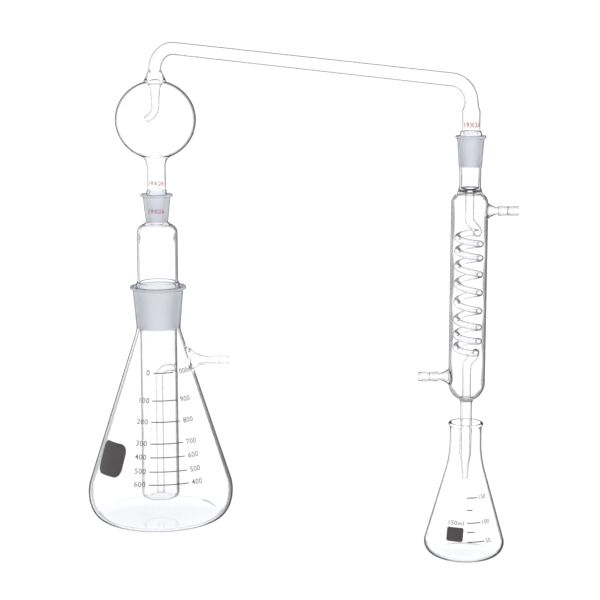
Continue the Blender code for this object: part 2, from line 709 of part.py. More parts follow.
def build_coil(clear, body):
    """The coil and the two wider leads that join it to the ring seals."""
    top_seal = Z["jacket_top"] - RING_SEAL_HEIGHT - SEAL_GAP
    foot_seal = Z["jacket_foot"] + RING_SEAL_HEIGHT + SEAL_GAP
    doubled = coil_point(0).z + coil_point(COIL_TURNS).z
    upper = lead_path(top_seal)
    lower = upended(lead_path(doubled - foot_seal))
    for name, path in (("coil_inlet_tube", upper), ("coil_outlet_tube", lower)):
        piped(name, path, [LEAD_RADIUS] * len(path), LEAD_WALL, TUBE_SIDES, clear, body)
    half = coil_path(upper[-1])
    path = half + upended(half)[-2::-1]
    radii = [COIL_TUBE_RADIUS] * len(path)
    piped("condenser_coil", path, radii, COIL_TUBE_WALL, COIL_SIDES, clear, body)


def build_condenser(clear, ground):
    body = empty("coil_condenser", (CONDENSER_X, CONDENSER_Y, 0))
    section = socket_section(
        Z["condenser_joint"], SMALL_JOINT_RADIUS, SMALL_JOINT_LENGTH, CONDENSER_SOCKET
    )
    turned("condenser_ground_socket", section, FACETS, ground, body)

    neck_top = Z["condenser_neck"]
    neck_foot = neck_top - NECK_LENGTH
    outline = [(NECK_RADIUS, neck_foot), (NECK_RADIUS, neck_top)]
    turned("condenser_neck", walled(outline, NECK_WALL), FACETS, clear, body)

    outline = jacket_outline()
    jacket = turned("condenser_jacket", walled(outline, JACKET_WALL), FACETS, clear, body)
    top, foot = Z["jacket_top"], Z["jacket_foot"]
    standing_off = [(0, foot)] + offset(outline, -SEAL_GAP) + [(0, top)]
    trimmer = turned("coolant_arm_trimmer", standing_off, FACETS, clear, body)
    arms = (
        ("coolant_outlet_arm", top - OUTLET_ARM_INSET, 1),
        ("coolant_inlet_arm", foot + INLET_ARM_INSET, -1),
    )
    for name, height, side in arms:
        reach = JACKET_RADIUS + CUTTER_PAST
        drill(f"{name}_hole", jacket, ARM_HOLE_RADIUS, height, reach, side, body)
        throat = ARM_REACH - HOSE_END_LENGTH
        side_arm(
            name, JACKET_RADIUS, ARM_REACH, ARM_BASE_RADIUS, throat, height, side, trimmer, clear, body
        )

    # Ring seals close the jacket round the inner tube at both ends.
    bore = LEAD_RADIUS - LEAD_WALL
    inside = offset(outline, JACKET_WALL)
    rim = inside[-1][0] - SEAL_GAP
    upper = [
        (bore, top - RING_SEAL_HEIGHT),
        (LEAD_RADIUS + RING_SEAL_SEAT, top - RING_SEAL_HEIGHT),
        (rim, top - RING_SEAL_EDGE),
        (rim, top),
        (LEAD_RADIUS, top - RING_SEAL_DISH),
    ]
    turned("upper_ring_seal", upper, FACETS, clear, body)
    rim = min(inside[0][0] - SEAL_GAP, DRIP_RADIUS)
    lower = [
        (bore, foot + SEAL_GAP),
        (rim, foot + SEAL_GAP),
        (rim, foot + RING_SEAL_HEIGHT),
        (bore, foot + RING_SEAL_HEIGHT),
    ]
    turned("lower_ring_seal", lower, FACETS, clear, body)
    build_coil(clear, body)

    tip = Z["tip"]
    stem = [(DRIP_TIP_RADIUS, tip), (DRIP_TIP_RADIUS + DRIP_TIP_FLARE, tip + DRIP_TIP_LENGTH / 2)]
    stem += [(DRIP_RADIUS, tip + DRIP_TIP_LENGTH), (DRIP_RADIUS, foot)]
    turned("drip_tube", walled(stem, DRIP_WALL), FACETS, clear, body)


# ---------------------------------------------------------------- receiver flask


def build_receiver(clear):
    body = empty("receiver_flask", (CONDENSER_X, CONDENSER_Y, 0))
    bead = RIM_BEAD_RADIUS
    neck_top = RECEIVER_HEIGHT - 2 * bead
    neck_bottom = RECEIVER_HEIGHT - RECEIVER_NECK_LENGTH
    outline = conical_flask_outline(
        RECEIVER_RADIUS,
        RECEIVER_HEEL,
        RECEIVER_NECK_RADIUS,
        neck_bottom,
        neck_top,
        RECEIVER_NECK_BLEND,
    )
    section = walled(outline, RECEIVER_WALL)
    # The bead rolls outwards from the neck's top and closes on the bore.
    bore = RECEIVER_NECK_RADIUS - RECEIVER_WALL
    rim = arc((RECEIVER_NECK_RADIUS, RECEIVER_HEIGHT - bead), bead, -70, 90, 4)
    rim += [(bore + RIM_ROLL[0], RECEIVER_HEIGHT - RIM_ROLL[1])]
    section[len(outline) : len(outline)] = rim
    turned("receiver_vessel", section, BIG_FACETS, clear, body)


def clear_scene():
    for obj in list(bpy.data.objects):
        bpy.data.objects.remove(obj)


clear_scene()
CLEAR = glass("clear_borosilicate", 0.02, (0.97, 0.985, 0.99))
GROUND = glass("ground_borosilicate", 0.55, (0.86, 0.88, 0.91))
build_steam_flask(CLEAR, GROUND)
build_chamber(CLEAR, GROUND)
build_splash_head(CLEAR, GROUND)
build_condenser(CLEAR, GROUND)
build_receiver(CLEAR)
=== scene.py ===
"""Looks of the steam distillation apparatus: fused glass, ground joints and enamel scales.

Each separable glass piece is one blown shell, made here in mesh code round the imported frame. A turned
or drawn shape is a section of (distance, radius) points along a spine. Metres, +Z up.
"""

import math

import bmesh
import bpy
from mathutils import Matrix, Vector


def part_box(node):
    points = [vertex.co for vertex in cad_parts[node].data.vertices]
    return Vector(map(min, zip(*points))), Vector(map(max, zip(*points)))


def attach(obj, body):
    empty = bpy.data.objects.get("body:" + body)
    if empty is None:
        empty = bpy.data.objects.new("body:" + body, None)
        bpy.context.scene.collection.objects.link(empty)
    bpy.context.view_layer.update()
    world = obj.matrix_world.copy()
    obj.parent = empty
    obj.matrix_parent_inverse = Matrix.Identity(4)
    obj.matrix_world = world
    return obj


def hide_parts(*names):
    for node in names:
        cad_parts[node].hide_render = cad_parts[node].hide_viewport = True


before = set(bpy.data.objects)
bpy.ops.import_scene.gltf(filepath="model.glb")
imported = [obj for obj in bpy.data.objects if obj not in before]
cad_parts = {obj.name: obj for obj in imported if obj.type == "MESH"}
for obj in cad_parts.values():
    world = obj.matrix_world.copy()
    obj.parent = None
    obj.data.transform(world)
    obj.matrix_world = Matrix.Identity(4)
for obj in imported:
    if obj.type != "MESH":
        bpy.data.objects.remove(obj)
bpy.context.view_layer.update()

MM = 0.001

# Ground joints, as on the frame: gap, taper on radius, and the ground surface's extent
GROUND_GAP = 0.3 * MM
GROUND_SLOPE = 0.05
BIG_JOINT_RADIUS = 20.0 * MM
SMALL_JOINT_RADIUS = 9.4 * MM
# Sockets: wall at the mouth, wall at the foot, and how far the lip stands out from the wall
FLASK_SOCKET = (3.1 * MM, 2.0 * MM, 2.6 * MM)
CHAMBER_SOCKET = (3.0 * MM, 2.0 * MM, 2.2 * MM)
CONDENSER_SOCKET = (1.9 * MM, 1.6 * MM, 1.6 * MM)
LIP_HEIGHT = 3.2 * MM
MOUTH_ROUNDING = 0.4 * MM
CONE_COLLAR = 4.0 * MM

# Walls
FLASK_WALL = 1.8 * MM
FLASK_BASE = 2.4 * MM
CHAMBER_WALL = 1.2 * MM
STEM_WALL = 1.2 * MM
BULB_WALL = 1.2 * MM
TUBE_WALL = 0.9 * MM
STEAM_TUBE_WALL = 0.95 * MM
LEAD_WALL = 1.0 * MM
COIL_TUBE_WALL = 0.8 * MM
JACKET_WALL = 0.8 * MM
RECEIVER_WALL = 1.1 * MM
RECEIVER_BASE = 1.9 * MM
PUNT = 1.4 * MM  # how far a flask's base is pushed up

# Shapes that the frame only roughs out
FLASK_HEEL = (14.0 * MM, 23.5 * MM)  # how far a heel reaches across and up
FLASK_NECK_STRAIGHT = 2.5 * MM  # from the neck's top down to where the cone begins
FLASK_NECK_BLEND = 5.0 * MM
CHAMBER_CORNER = 6.0 * MM
CHAMBER_SHOULDER = 8.0 * MM
STEAM_TUBE_RADIUS = 3.25 * MM
STEAM_TUBE_BEND = 9.0 * MM
STEAM_HOLE_RADIUS = 2.3 * MM
HEAD_STEM_RADIUS = 8.4 * MM
BULB_HALF_HEIGHT = 35.2 * MM
BULB_CROWN_RADIUS = 10.2 * MM  # where the collar meets the bulb
BULB_FLARE = 6.0 * MM  # how far the bulb's foot curves out from its stem
DELIVERY_STEM_RADIUS = 7.6 * MM
JACKET_SHOULDER = 9.0 * MM
JACKET_FOOT = 16.0 * MM  # the height over which the jacket draws in to the drip tube
DRIP_RADIUS = 4.95 * MM
DRIP_TIP_RADIUS = 2.5 * MM
DRIP_TAPER = 17.5 * MM
RECEIVER_HEEL = (11.0 * MM, 11.0 * MM)
RECEIVER_NECK_RADIUS = 13.5 * MM
RECEIVER_NECK_HEIGHT = 30.0 * MM
RECEIVER_NECK_BLEND = 13.0 * MM
RECEIVER_BEAD = 1.5 * MM
COIL_RADIUS = 9.65 * MM
COIL_TURNS = 8
COIL_END_CROWDING = 0.22
COIL_TUBE_RADIUS = 2.75 * MM
COIL_SEAT = 0.9 * MM  # from a lead node's near end to the coil's first or last turn
LEAD_RADIUS = 3.75 * MM
LEAD_SWING = 7.0 * MM
LEAD_BEND_HEIGHT = 11.5 * MM
LEAD_SEAT = 2.2 * MM  # how far a lead goes into its ring seal
RING_SEAL_HEIGHT = 3.0 * MM
BRIDGE_RADIUS = 5.6 * MM
BRIDGE_BEND = 18.5 * MM
BRIDGE_FALL = math.radians(5.1)
BRIDGE_DROP = 1.5 * MM  # straight tube between the right bend and the delivery stem
GUARD_DROP = 28.5 * MM
GUARD_ELBOW = 12.0 * MM
GUARD_FOOT = 10.5 * MM
GUARD_LEAN = math.radians(58)
HOSE_END = 17.0 * MM
HOSE_RIDGES = 2
HOSE_RIDGE_RADIUS = 4.1 * MM
HOSE_WAIST = 3.3 * MM
HOSE_BORE = 1.9 * MM
CUT_PAST = 3.0 * MM  # how far a cutter runs on past the mouth that it opens
HEEL_RING = 0.6 * MM  # a ring of points this far inside a heel keeps its outline off the flat base
LONGEST_STEP = 6.0 * MM  # along a shell, so that its outlines keep their width

# Facets round the shells and tubes
ROUND = 96
TUBE_ROUND = 40
COIL_ROUND = 24
COIL_STEPS = 36
SHARP_EDGE = math.radians(38)

# Dark outlines painted on the glass, a painted shade for the darkening at its edges: reach = OUTLINE_REACH x
# curvature ** OUTLINE_POWER, curvature in 1/m
OUTLINE_REACH = 0.0125
OUTLINE_POWER = 0.45
OUTLINE_FADE = 0.55  # the power of the outline's share, from its inner edge to the silhouette
BORE_OUTLINE = 0.25  # a bore's outline against an outer surface's
OUTLINE_SHADED_SIDE = 0.35  # how much wider the outlines are towards +X, and narrower towards -X: a painted shade, darker on the +X side
WIDEST_OUTLINE = 0.2
OUTLINE_SHADE = (0.095, 0.105, 0.13)
GROUND_OUTLINE_SHADE = (0.52, 0.53, 0.57)
SHARPEST_CURVE = 400.0
LEVEL_WALL = 0.8  # a wall whose normal rises or falls this steeply counts as level
GLOBE_CURVATURE = 40.0  # the bulb and wide cones stay under this
HEEL_CURVATURE = 60.0  # heels and shoulders lie between this and the next
TUBE_CURVATURE = 172.0  # narrow tubes exceed this
HEEL_LEVEL = -0.96  # the normals of the ring that a flask stands on fall below this
# The ring that a flask stands on is painted dark across this reach whatever the angle: a painted shade line
# along the base.
STANDING_RING_SHADE_REACH = 0.05

# Enamel
ENAMEL_LIFT = 0.05 * MM
LINE_THICKNESS = 0.85 * MM
TEXT_BOLDNESS = 0.03 * MM
LETTER_SPACING = 1.08
FLASK_NUMBER_SIZE = 6.9 * MM
RECEIVER_NUMBER_SIZE = 5.4 * MM
RECEIVER_VOLUME_SIZE = 5.6 * MM
JOINT_MARK_SIZE = 5.6 * MM
# A side's slope, and each graduation's height in mm with its numbers to the left and right
FLASK_SLOPE = 0.32
FLASK_GRADUATIONS = (
    (141.5, "0", "1000ml"),
    (117.6, "100", "900"),
    (99.4, "200", "800"),
    (80.8, "300", "700"),
    (69.1, "400", "600"),
    (57.0, "500", "500"),
    (45.9, "600", "400"),
)
FLASK_LINE = (-5.2, 28.8)  # where the lines start and end, in degrees from the front
FLASK_NUMBER_GAP = 3.2 * MM
# The same for the receiver, where each line has its own end, in degrees, and a number or none
RECEIVER_SLOPE = 0.28
RECEIVER_GRADUATIONS = (
    (56.0, 23, "150"),
    (46.0, 10.5, ""),
    (35.6, 24, "100"),
    (28.2, 11.7, ""),
    (20.2, 27, "50"),
)
RECEIVER_LINE_START = -0.5
RECEIVER_NUMBER_GAP = 1.2 * MM
RECEIVER_LABEL_ANGLE = -20.5

BOROSILICATE_IOR = 1.473

CLEAR, GROUND = 0, 1  # material slots of every glass shell


# ---------------- the frame's places


def low(node):
    return Vector(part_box(node)[0])


def high(node):
    return Vector(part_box(node)[1])


def half_width(node):
    return (high(node).x - low(node).x) / 2


def axis_of(node):
    """The vertical axis of a turned node, as (x, y)."""
    middle = (low(node) + high(node)) / 2
    return middle.x, middle.y


CONDENSER_AXIS = axis_of("condenser_ground_socket")


# ---------------- outlines


def ellipse(centre, across, up, start, end, steps):
    """(distance, radius) points on an ellipse, angles in degrees from +r towards +z."""
    turns = [math.radians(start + (end - start) * i / steps) for i in range(steps + 1)]
    return [(centre[1] + up * math.sin(t), centre[0] + across * math.cos(t)) for t in turns]


def arc(centre, radius, start, end, steps):
    return ellipse(centre, radius, radius, start, end, steps)


def eased(start, corner, end, steps):
    """Points from start to end on a curve that leaves and arrives towards the corner."""
    path = []
    for i in range(steps + 1):
        t = i / steps
        path.append(
            tuple((1 - t) ** 2 * a + 2 * t * (1 - t) * b + t * t * c for a, b, c in zip(start, corner, end))
        )
    return path


def conical(radius, heel, base, neck_radius, neck_height, blend, top):
    """A conical flask's outline from its heel up to the top of its neck."""
    across, up = heel
    centre = Vector((radius - across, base + up))
    corner = Vector((neck_radius, neck_height))
    x, y = (corner.x - centre.x) / across, (corner.y - centre.y) / up
    touch = math.degrees(math.atan2(y, x) - math.acos(1 / math.hypot(x, y)))
    outline = ellipse(centre, across, up, -90, touch, 20)
    foot = Vector((outline[-1][1], outline[-1][0]))
    side = (corner - foot).normalized()
    below = corner - side * blend
    straight = min(corner.y + blend, top - 0.2 * MM)
    outline += eased((below.y, below.x), (corner.y, corner.x), (straight, corner.x), 12)
    return outline + [(top, neck_radius)]


def thinner(heel, wall):
    """The inside of a heel."""
    return heel[0] - wall, heel[1] - wall


def with_slot(outline, slot):
    """The outline with a material slot at each point, in place of any it had."""
    return [(s, r, slot) for s, r, *_ in outline]


def radius_at_foot(radius, foot, mouth):
    """The radius at a ground surface's narrow end."""
    return radius - GROUND_SLOPE * (mouth - foot)


def socket_bore(radius, foot, mouth):
    """The ground bore, upwards from the socket's foot to its rounded mouth."""
    bore = [(foot, radius_at_foot(radius, foot, mouth), GROUND), (mouth - 0.5 * MM, radius, GROUND)]
    return bore + [(mouth, radius + MOUTH_ROUNDING, CLEAR)]


def open_mouth(radius, mouth):
    """The end of a cutter, past a socket's mouth."""
    return [(mouth + CUT_PAST, radius + MOUTH_ROUNDING, CLEAR)]


def socket_outside(radius, socket, foot, mouth):
    """The socket's outer side, upwards to its flared lip. It looks frosted up to its mouth."""
    mouth_wall, foot_wall, lip_reach = socket
    body = radius + mouth_wall
    lip = body + lip_reach
    flare = mouth - LIP_HEIGHT
    under = (flare - 1.0 * MM, body - 0.1 * MM)
    outline = [(foot, radius_at_foot(radius, foot, mouth) + foot_wall), under]
    outline += eased(under, (flare + 0.4 * MM, body), (mouth - 2.0 * MM, lip), 5)
    outline += [(mouth - 1.2 * MM, lip), (mouth - 0.4 * MM, lip - 0.1 * MM), (mouth, lip - 0.6 * MM)]
    return with_slot(outline, GROUND)


def cone_outside(joint_radius, foot, mouth, stem_radius):
    """A ground cone's outer side, upwards to where it has drawn in to its stem."""
    radius = joint_radius - GROUND_GAP
    at_foot = radius_at_foot(radius, foot, mouth)
    top = mouth + CONE_COLLAR
    outline = [(foot, at_foot - 0.4 * MM, CLEAR), (foot + 0.5 * MM, at_foot, GROUND)]
    outline += [(mouth, radius, GROUND), (mouth + 0.3 * MM, radius, CLEAR)]
    collar = eased((mouth + 0.5 * MM, radius), (top, radius), (top, stem_radius), 6)
    return outline + with_slot(collar, CLEAR)


# ---------------- spines and skins


class Spine:
    """A line through space, with a frame at every distance along it."""

    def __init__(self, points):
        self.points = [Vector(p) for p in points]
        self.stations = [0.0]
        for a, b in zip(self.points, self.points[1:]):
            self.stations.append(self.stations[-1] + (b - a).length)
        last = len(self.points) - 1
        self.tangents = [
            (self.points[min(i + 1, last)] - self.points[max(i - 1, 0)]).normalized()
            for i in range(last + 1)
        ]
        self.tangents[0] = (self.points[1] - self.points[0]).normalized()
        self.tangents[-1] = (self.points[-1] - self.points[-2]).normalized()
        self.across = [self.tangents[0].orthogonal().normalized()]
        for before, after in zip(self.tangents, self.tangents[1:]):
            self.across.append(before.rotation_difference(after) @ self.across[-1])

    def at(self, distance):
        last = len(self.stations) - 2
        i = 0
        while i < last and self.stations[i + 1] < distance:
            i += 1
        t = (distance - self.stations[i]) / (self.stations[i + 1] - self.stations[i])
        point = self.points[i].lerp(self.points[i + 1], t)
        u = min(max(t, 0.0), 1.0)
        tangent = self.tangents[i].lerp(self.tangents[i + 1], u).normalized()
        across = self.across[i].lerp(self.across[i + 1], u)
        across = (across - tangent * across.dot(tangent)).normalized()
        return point, across, tangent.cross(across)

    def followed(self, section):
        """The section with points added at the spine's stations and along its longer steps."""
        full = [section[0]]
        for start, end in zip(section, section[1:]):
            (s0, r0), (s1, r1) = start[:2], end[:2]
            between = [s for s in self.stations if min(s0, s1) + 1e-6 < s < max(s0, s1) - 1e-6]
            steps = math.ceil(abs(s1 - s0) / LONGEST_STEP)
            if len(between) < steps:
                between += [s0 + (s1 - s0) * i / steps for i in range(1, steps)]
            for s in sorted(between, reverse=s1 < s0):
                full.append((s, r0 + (r1 - r0) * (s - s0) / (s1 - s0), *start[2:]))
            full.append(end)
        return full


def upright(axis=(0.0, 0.0)):
    """A vertical spine whose distances are heights above the floor."""
    return Spine([(*axis, 0.0), (*axis, 1.0)])


def skinned(bm, spine, section, sides, closed):
    """Rings along the spine with faces between them. A radius of 0 is a pole."""
    rings = []
    for s, r, *_ in section:
        point, across, beside = spine.at(s)
        if r == 0:
            rings.append([bm.verts.new(point)])
            continue
        turns = [2 * math.pi * k / sides for k in range(sides)]
        rings.append(
            [bm.verts.new(point + across * (r * math.cos(t)) + beside * (r * math.sin(t))) for t in turns]
        )
    pairs = list(zip(range(len(rings)), range(1, len(rings))))
    if closed:
        pairs.append((len(rings) - 1, 0))
    for a, b in pairs:
        slot = section[a][2] if len(section[a]) > 2 else CLEAR
        for k in range(sides):
            m = (k + 1) % sides
            corners = [rings[a][k % len(rings[a])], rings[a][m % len(rings[a])]]
            corners += [rings[b][m % len(rings[b])], rings[b][k % len(rings[b])]]
            face = bm.faces.new(list(dict.fromkeys(corners)))
            face.material_index = slot


def note_painted_outlines(mesh):
    """Store at each vertex how far its painted dark outline, a painted shade, reaches in from the
    silhouette, as a share of the radius of curvature. Upright walls are measured round their axis. Of the
    level ones, narrow tubes, the bulb and the ring that a flask stands on have outlines, and bases and
    shoulders none.
    The ring that a flask stands on is painted dark all across, as a painted shade line along the base."""
    convex = [0.0] * len(mesh.vertices)
    hollow = [0.0] * len(mesh.vertices)
    shaded_standing_ring = set()
    for edge in mesh.edges:
        a, b = (mesh.vertices[i] for i in edge.vertices)
        along = a.co - b.co
        if along.length < 0.01 * MM:
            continue
        steep = abs(along.z) > 0.5 * along.length
        turn = a.normal - b.normal
        curvature = min(turn.length / along.length, SHARPEST_CURVE)
        kind = convex if turn.dot(along) > 0 else hollow
        for vert in (a, b):
            if abs(vert.normal.z) > LEVEL_WALL:
                counts = kind is convex and not GLOBE_CURVATURE <= curvature <= TUBE_CURVATURE
            else:
                counts = not steep
            if counts:
                kind[vert.index] = max(kind[vert.index], curvature)
            heel = kind is convex and HEEL_CURVATURE < curvature < TUBE_CURVATURE
            if heel and vert.normal.z < HEEL_LEVEL:
                shaded_standing_ring.add(vert.index)
    reach = [
        OUTLINE_REACH * (curve**OUTLINE_POWER if curve >= dent else BORE_OUTLINE * dent**OUTLINE_POWER)
        for curve, dent in zip(convex, hollow)
    ]
    for vert in mesh.vertices:
        # Painted shade: the outlines widen on the +X side and narrow on the -X side.
        side = 1 + OUTLINE_SHADED_SIDE * vert.normal.x
        reach[vert.index] = min(reach[vert.index] * side, WIDEST_OUTLINE)
        # Painted shade: the ring that a flask stands on gets a dark line.
        if vert.index in shaded_standing_ring:
            reach[vert.index] = STANDING_RING_SHADE_REACH
    mesh.attributes.new("outline", "FLOAT", "POINT").data.foreach_set("value", reach)


def mesh_of(name, bm):
    """A mesh of the bmesh, which this frees."""
    mesh = bpy.data.meshes.new(name)
    bm.to_mesh(mesh)
    bm.free()
    return mesh


def linked(name, data):
    thing = bpy.data.objects.new(name, data)
    bpy.context.scene.collection.objects.link(thing)
    return thing


def evaluated(thing):
    """A bmesh of the object as its modifiers or its font make it."""
    depsgraph = bpy.context.evaluated_depsgraph_get()
    depsgraph.update()
    mesh = bpy.data.meshes.new_from_object(thing.evaluated_get(depsgraph))
    bm = bmesh.new()
    bm.from_mesh(mesh)
    bpy.data.meshes.remove(mesh)
    return bm


def carried(piece, body):
    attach(piece, body)
    return piece


def finished(name, bm, body=None):
    """A glass piece, which rides on the body, or a tool for a Boolean, which has none."""
    bmesh.ops.recalc_face_normals(bm, faces=bm.faces)
    mesh = mesh_of(name, bm)
    note_painted_outlines(mesh)
    for material in GLASS:
        mesh.materials.append(material)
    mesh.shade_smooth()
    mesh.set_sharp_from_angle(angle=SHARP_EDGE)
    piece = linked(name, mesh)
    return carried(piece, body) if body else piece


def shell(name, body, spine, outer, inner, sides):
    """A hollow piece from its outer and inner outlines, both drawn the same way along the spine."""
    section = spine.followed([p if len(p) > 2 else (*p, CLEAR) for p in outer + inner[::-1]])
    bm = bmesh.new()
    skinned(bm, spine, section, sides, closed=section[0][1] > 0 or section[-1][1] > 0)
    return finished(name, bm, body)


def solid(name, spine, outline, sides):
    """A solid of the outline, closed across its ends, for the Booleans."""
    section = [p if len(p) > 2 else (*p, CLEAR) for p in outline]
    section = [(section[0][0], 0, CLEAR)] + section + [(section[-1][0], 0, CLEAR)]
    deduped = [section[0]]
    for point in section[1:]:
        if (point[0] - deduped[-1][0]) ** 2 + (point[1] - deduped[-1][1]) ** 2 > 1e-12:
            deduped.append(point)
    bm = bmesh.new()
    skinned(bm, spine, spine.followed(deduped), sides, closed=False)
    return finished(name, bm)


def combined(name, body, whole, added, removed):
    """whole with the added solids joined on and then the removed ones cut out of it."""
    for operation, tools in (("UNION", added), ("DIFFERENCE", removed)):
        for tool in tools:
            modifier = whole.modifiers.new(operation.lower(), "BOOLEAN")
            modifier.operation = operation
            modifier.solver = "EXACT"
            modifier.object = tool
    bm = evaluated(whole)
    bmesh.ops.remove_doubles(bm, verts=bm.verts, dist=1e-6)
    for tool in [whole, *added, *removed]:
        bpy.data.objects.remove(tool)
    return finished(name, bm, body)


# ---------------- materials


def new_material(name):
    material = bpy.data.materials.new(name)
    material.use_nodes = True
    tree = material.node_tree
    shader = tree.nodes["Principled BSDF"]
    return material, tree, shader


def add_bump(tree, shader, scale, strength, distance):
    """A shallow waviness from a noise that is fixed to the object."""
    place = tree.nodes.new("ShaderNodeTexCoord")
    noise = tree.nodes.new("ShaderNodeTexNoise")
    noise.inputs["Scale"].default_value = scale
    noise.inputs["Detail"].default_value = 2.0
    bump = tree.nodes.new("ShaderNodeBump")
    bump.inputs["Strength"].default_value = strength
    bump.inputs["Distance"].default_value = distance
    tree.links.new(place.outputs["Object"], noise.inputs["Vector"])
    tree.links.new(noise.outputs["Fac"], bump.inputs["Height"])
    tree.links.new(bump.outputs["Normal"], shader.inputs["Normal"])
    return noise.outputs["Fac"]


def fed(tree, socket, value):
    """Link the value to the socket if it is a socket, or else set it there."""
    if isinstance(value, bpy.types.NodeSocket):
        tree.links.new(value, socket)
    else:
        socket.default_value = value


def calculated(tree, operation, first, second=0.0, clamp=False):
    """A Math node. Its inputs are sockets or numbers, and its result is a socket."""
    node = tree.nodes.new("ShaderNodeMath")
    node.operation = operation
    node.use_clamp = clamp
    fed(tree, node.inputs[0], first)
    fed(tree, node.inputs[1], second)
    return node.outputs[0]


def coloured(tree, factor, first, second, blend="MIX"):
    """A colour Mix node. Its inputs are sockets or values, and its result is a socket."""
    node = tree.nodes.new("ShaderNodeMix")
    node.data_type = "RGBA"
    node.blend_type = blend
    fed(tree, node.inputs["Factor"], factor)
    fed(tree, node.inputs["A"], first)
    fed(tree, node.inputs["B"], second)
    return node.outputs["Result"]


def ramp(tree, source, *stops, interpolation="LINEAR"):
    """A colour ramp along the source, from (position, colour) stops."""
    node = tree.nodes.new("ShaderNodeValToRGB")
    node.color_ramp.interpolation = interpolation
    for element, (position, colour) in zip(node.color_ramp.elements, (stops[0], stops[-1])):
        element.position = position
        element.color = (*colour, 1.0)
    for position, colour in stops[1:-1]:
        node.color_ramp.elements.new(position).color = (*colour, 1.0)
    tree.links.new(source, node.inputs[0])
    return node.outputs[0]


def facing(tree):
    """0 where a surface faces the sight line, and 1 where it runs along it."""
    node = tree.nodes.new("ShaderNodeLayerWeight")
    node.inputs["Blend"].default_value = 0.5
    return node.outputs["Facing"]


def see_through(tree, tint):
    clear = tree.nodes.new("ShaderNodeBsdfTransparent")
    clear.inputs["Color"].default_value = (*tint, 1.0)
    return clear.outputs[0]


def mixed(tree, share, first, second):
    mix = tree.nodes.new("ShaderNodeMixShader")
    tree.links.new(share, mix.inputs[0])
    tree.links.new(first, mix.inputs[1])
    tree.links.new(second, mix.inputs[2])
    return mix.outputs[0]


def with_painted_outline(tree, surface, shade):
    """Painted shade: glass is painted darkest where the sight line runs along its wall, in a line as wide as
    the wall.
    """
    outline = tree.nodes.new("ShaderNodeAttribute")
    outline.attribute_name = "outline"
    across = calculated(tree, "SUBTRACT", 1.0, facing(tree))
    squared = calculated(tree, "MULTIPLY", across, across)
    along = calculated(tree, "SQRT", calculated(tree, "SUBTRACT", 1.0, squared))
    inset = calculated(tree, "SUBTRACT", 1.0, along)
    reach = calculated(tree, "MAXIMUM", outline.outputs["Fac"], 1e-5)
    part = calculated(tree, "SUBTRACT", 1.0, calculated(tree, "DIVIDE", inset, reach), clamp=True)
    share = calculated(tree, "POWER", part, OUTLINE_FADE)
    return mixed(tree, share, surface, see_through(tree, shade))


def let_shadows_through(tree, surface, share, tint):
    """Shadow and diffuse rays pass mostly straight through, so that glass casts a light shadow."""
    path = tree.nodes.new("ShaderNodeLightPath")
    either = calculated(tree, "MAXIMUM", path.outputs["Is Shadow Ray"], path.outputs["Is Diffuse Ray"])
    passed = calculated(tree, "MULTIPLY", either, share)
    surface = mixed(tree, passed, surface, see_through(tree, tint))
    tree.links.new(surface, tree.nodes["Material Output"].inputs["Surface"])


def clear_glass():
    """Borosilicate glass: colourless, with painted dark outlines, a painted shade that greys it towards its
    edges, and a faint waviness.
    """
    material, tree, shader = new_material("clear_borosilicate")
    shader.inputs["Transmission Weight"].default_value = 1.0
    shader.inputs["IOR"].default_value = BOROSILICATE_IOR
    shader.inputs["Roughness"].default_value = 0.0
    # Painted shade: the base colour greys towards lavender where the wall turns away from the sight line.
    across, aslant, along = (0.995, 0.995, 0.998), (0.975, 0.978, 0.988), (0.95, 0.953, 0.975)
    tint = ramp(tree, facing(tree), (0.15, across), (0.65, aslant), (1.0, along))
    tree.links.new(tint, shader.inputs["Base Color"])
    add_bump(tree, shader, 30.0, 0.05, 0.2 * MM)
    surface = with_painted_outline(tree, shader.outputs[0], OUTLINE_SHADE)
    let_shadows_through(tree, surface, 1.0, (0.985, 0.987, 0.99))
    return material


def ground_glass():
    """Ground surfaces of the joints: a fine grain that scatters, in a cool light grey, with painted shade
    darkening it where it turns from the sight line, and painted dark outlines.
    """
    material, tree, shader = new_material("ground_borosilicate")
    shader.inputs["Transmission Weight"].default_value = 1.0
    shader.inputs["IOR"].default_value = BOROSILICATE_IOR
    grain = add_bump(tree, shader, 2600.0, 0.35, 0.03 * MM)
    rough = tree.nodes.new("ShaderNodeMapRange")
    rough.inputs["To Min"].default_value = 0.42
    rough.inputs["To Max"].default_value = 0.62
    tree.links.new(grain, rough.inputs["Value"])
    tree.links.new(rough.outputs["Result"], shader.inputs["Roughness"])
    tint = coloured(tree, grain, (0.88, 0.89, 0.925, 1.0), (0.93, 0.94, 0.96, 1.0))
    # Painted shade: darker grey where the surface turns away from the sight line.
    shade = ramp(tree, facing(tree), (0.1, (0.97, 0.97, 0.97)), (0.8, (0.70, 0.70, 0.72)))
    both = coloured(tree, 1.0, tint, shade, "MULTIPLY")
    tree.links.new(both, shader.inputs["Base Color"])
    surface = with_painted_outline(tree, shader.outputs[0], GROUND_OUTLINE_SHADE)
    let_shadows_through(tree, surface, 0.9, (0.93, 0.935, 0.95))
    return material


def enamel(name, colour, darker):
    """Fired ink with small uneven patches in its colour."""
    material, tree, shader = new_material(name)
    shader.inputs["Roughness"].default_value = 0.45
    patches = add_bump(tree, shader, 900.0, 0.2, 0.02 * MM)
    ink = coloured(tree, patches, (*darker, 1.0), (*colour, 1.0))
    tree.links.new(ink, shader.inputs["Base Color"])
    return material


GLASS = [clear_glass(), ground_glass()]
GREY_ENAMEL = enamel("grey_enamel", (0.14, 0.128, 0.133), (0.10, 0.092, 0.095))
RED_ENAMEL = enamel("red_enamel", (0.42, 0.05, 0.075), (0.30, 0.03, 0.055))


# ---------------- hose arms


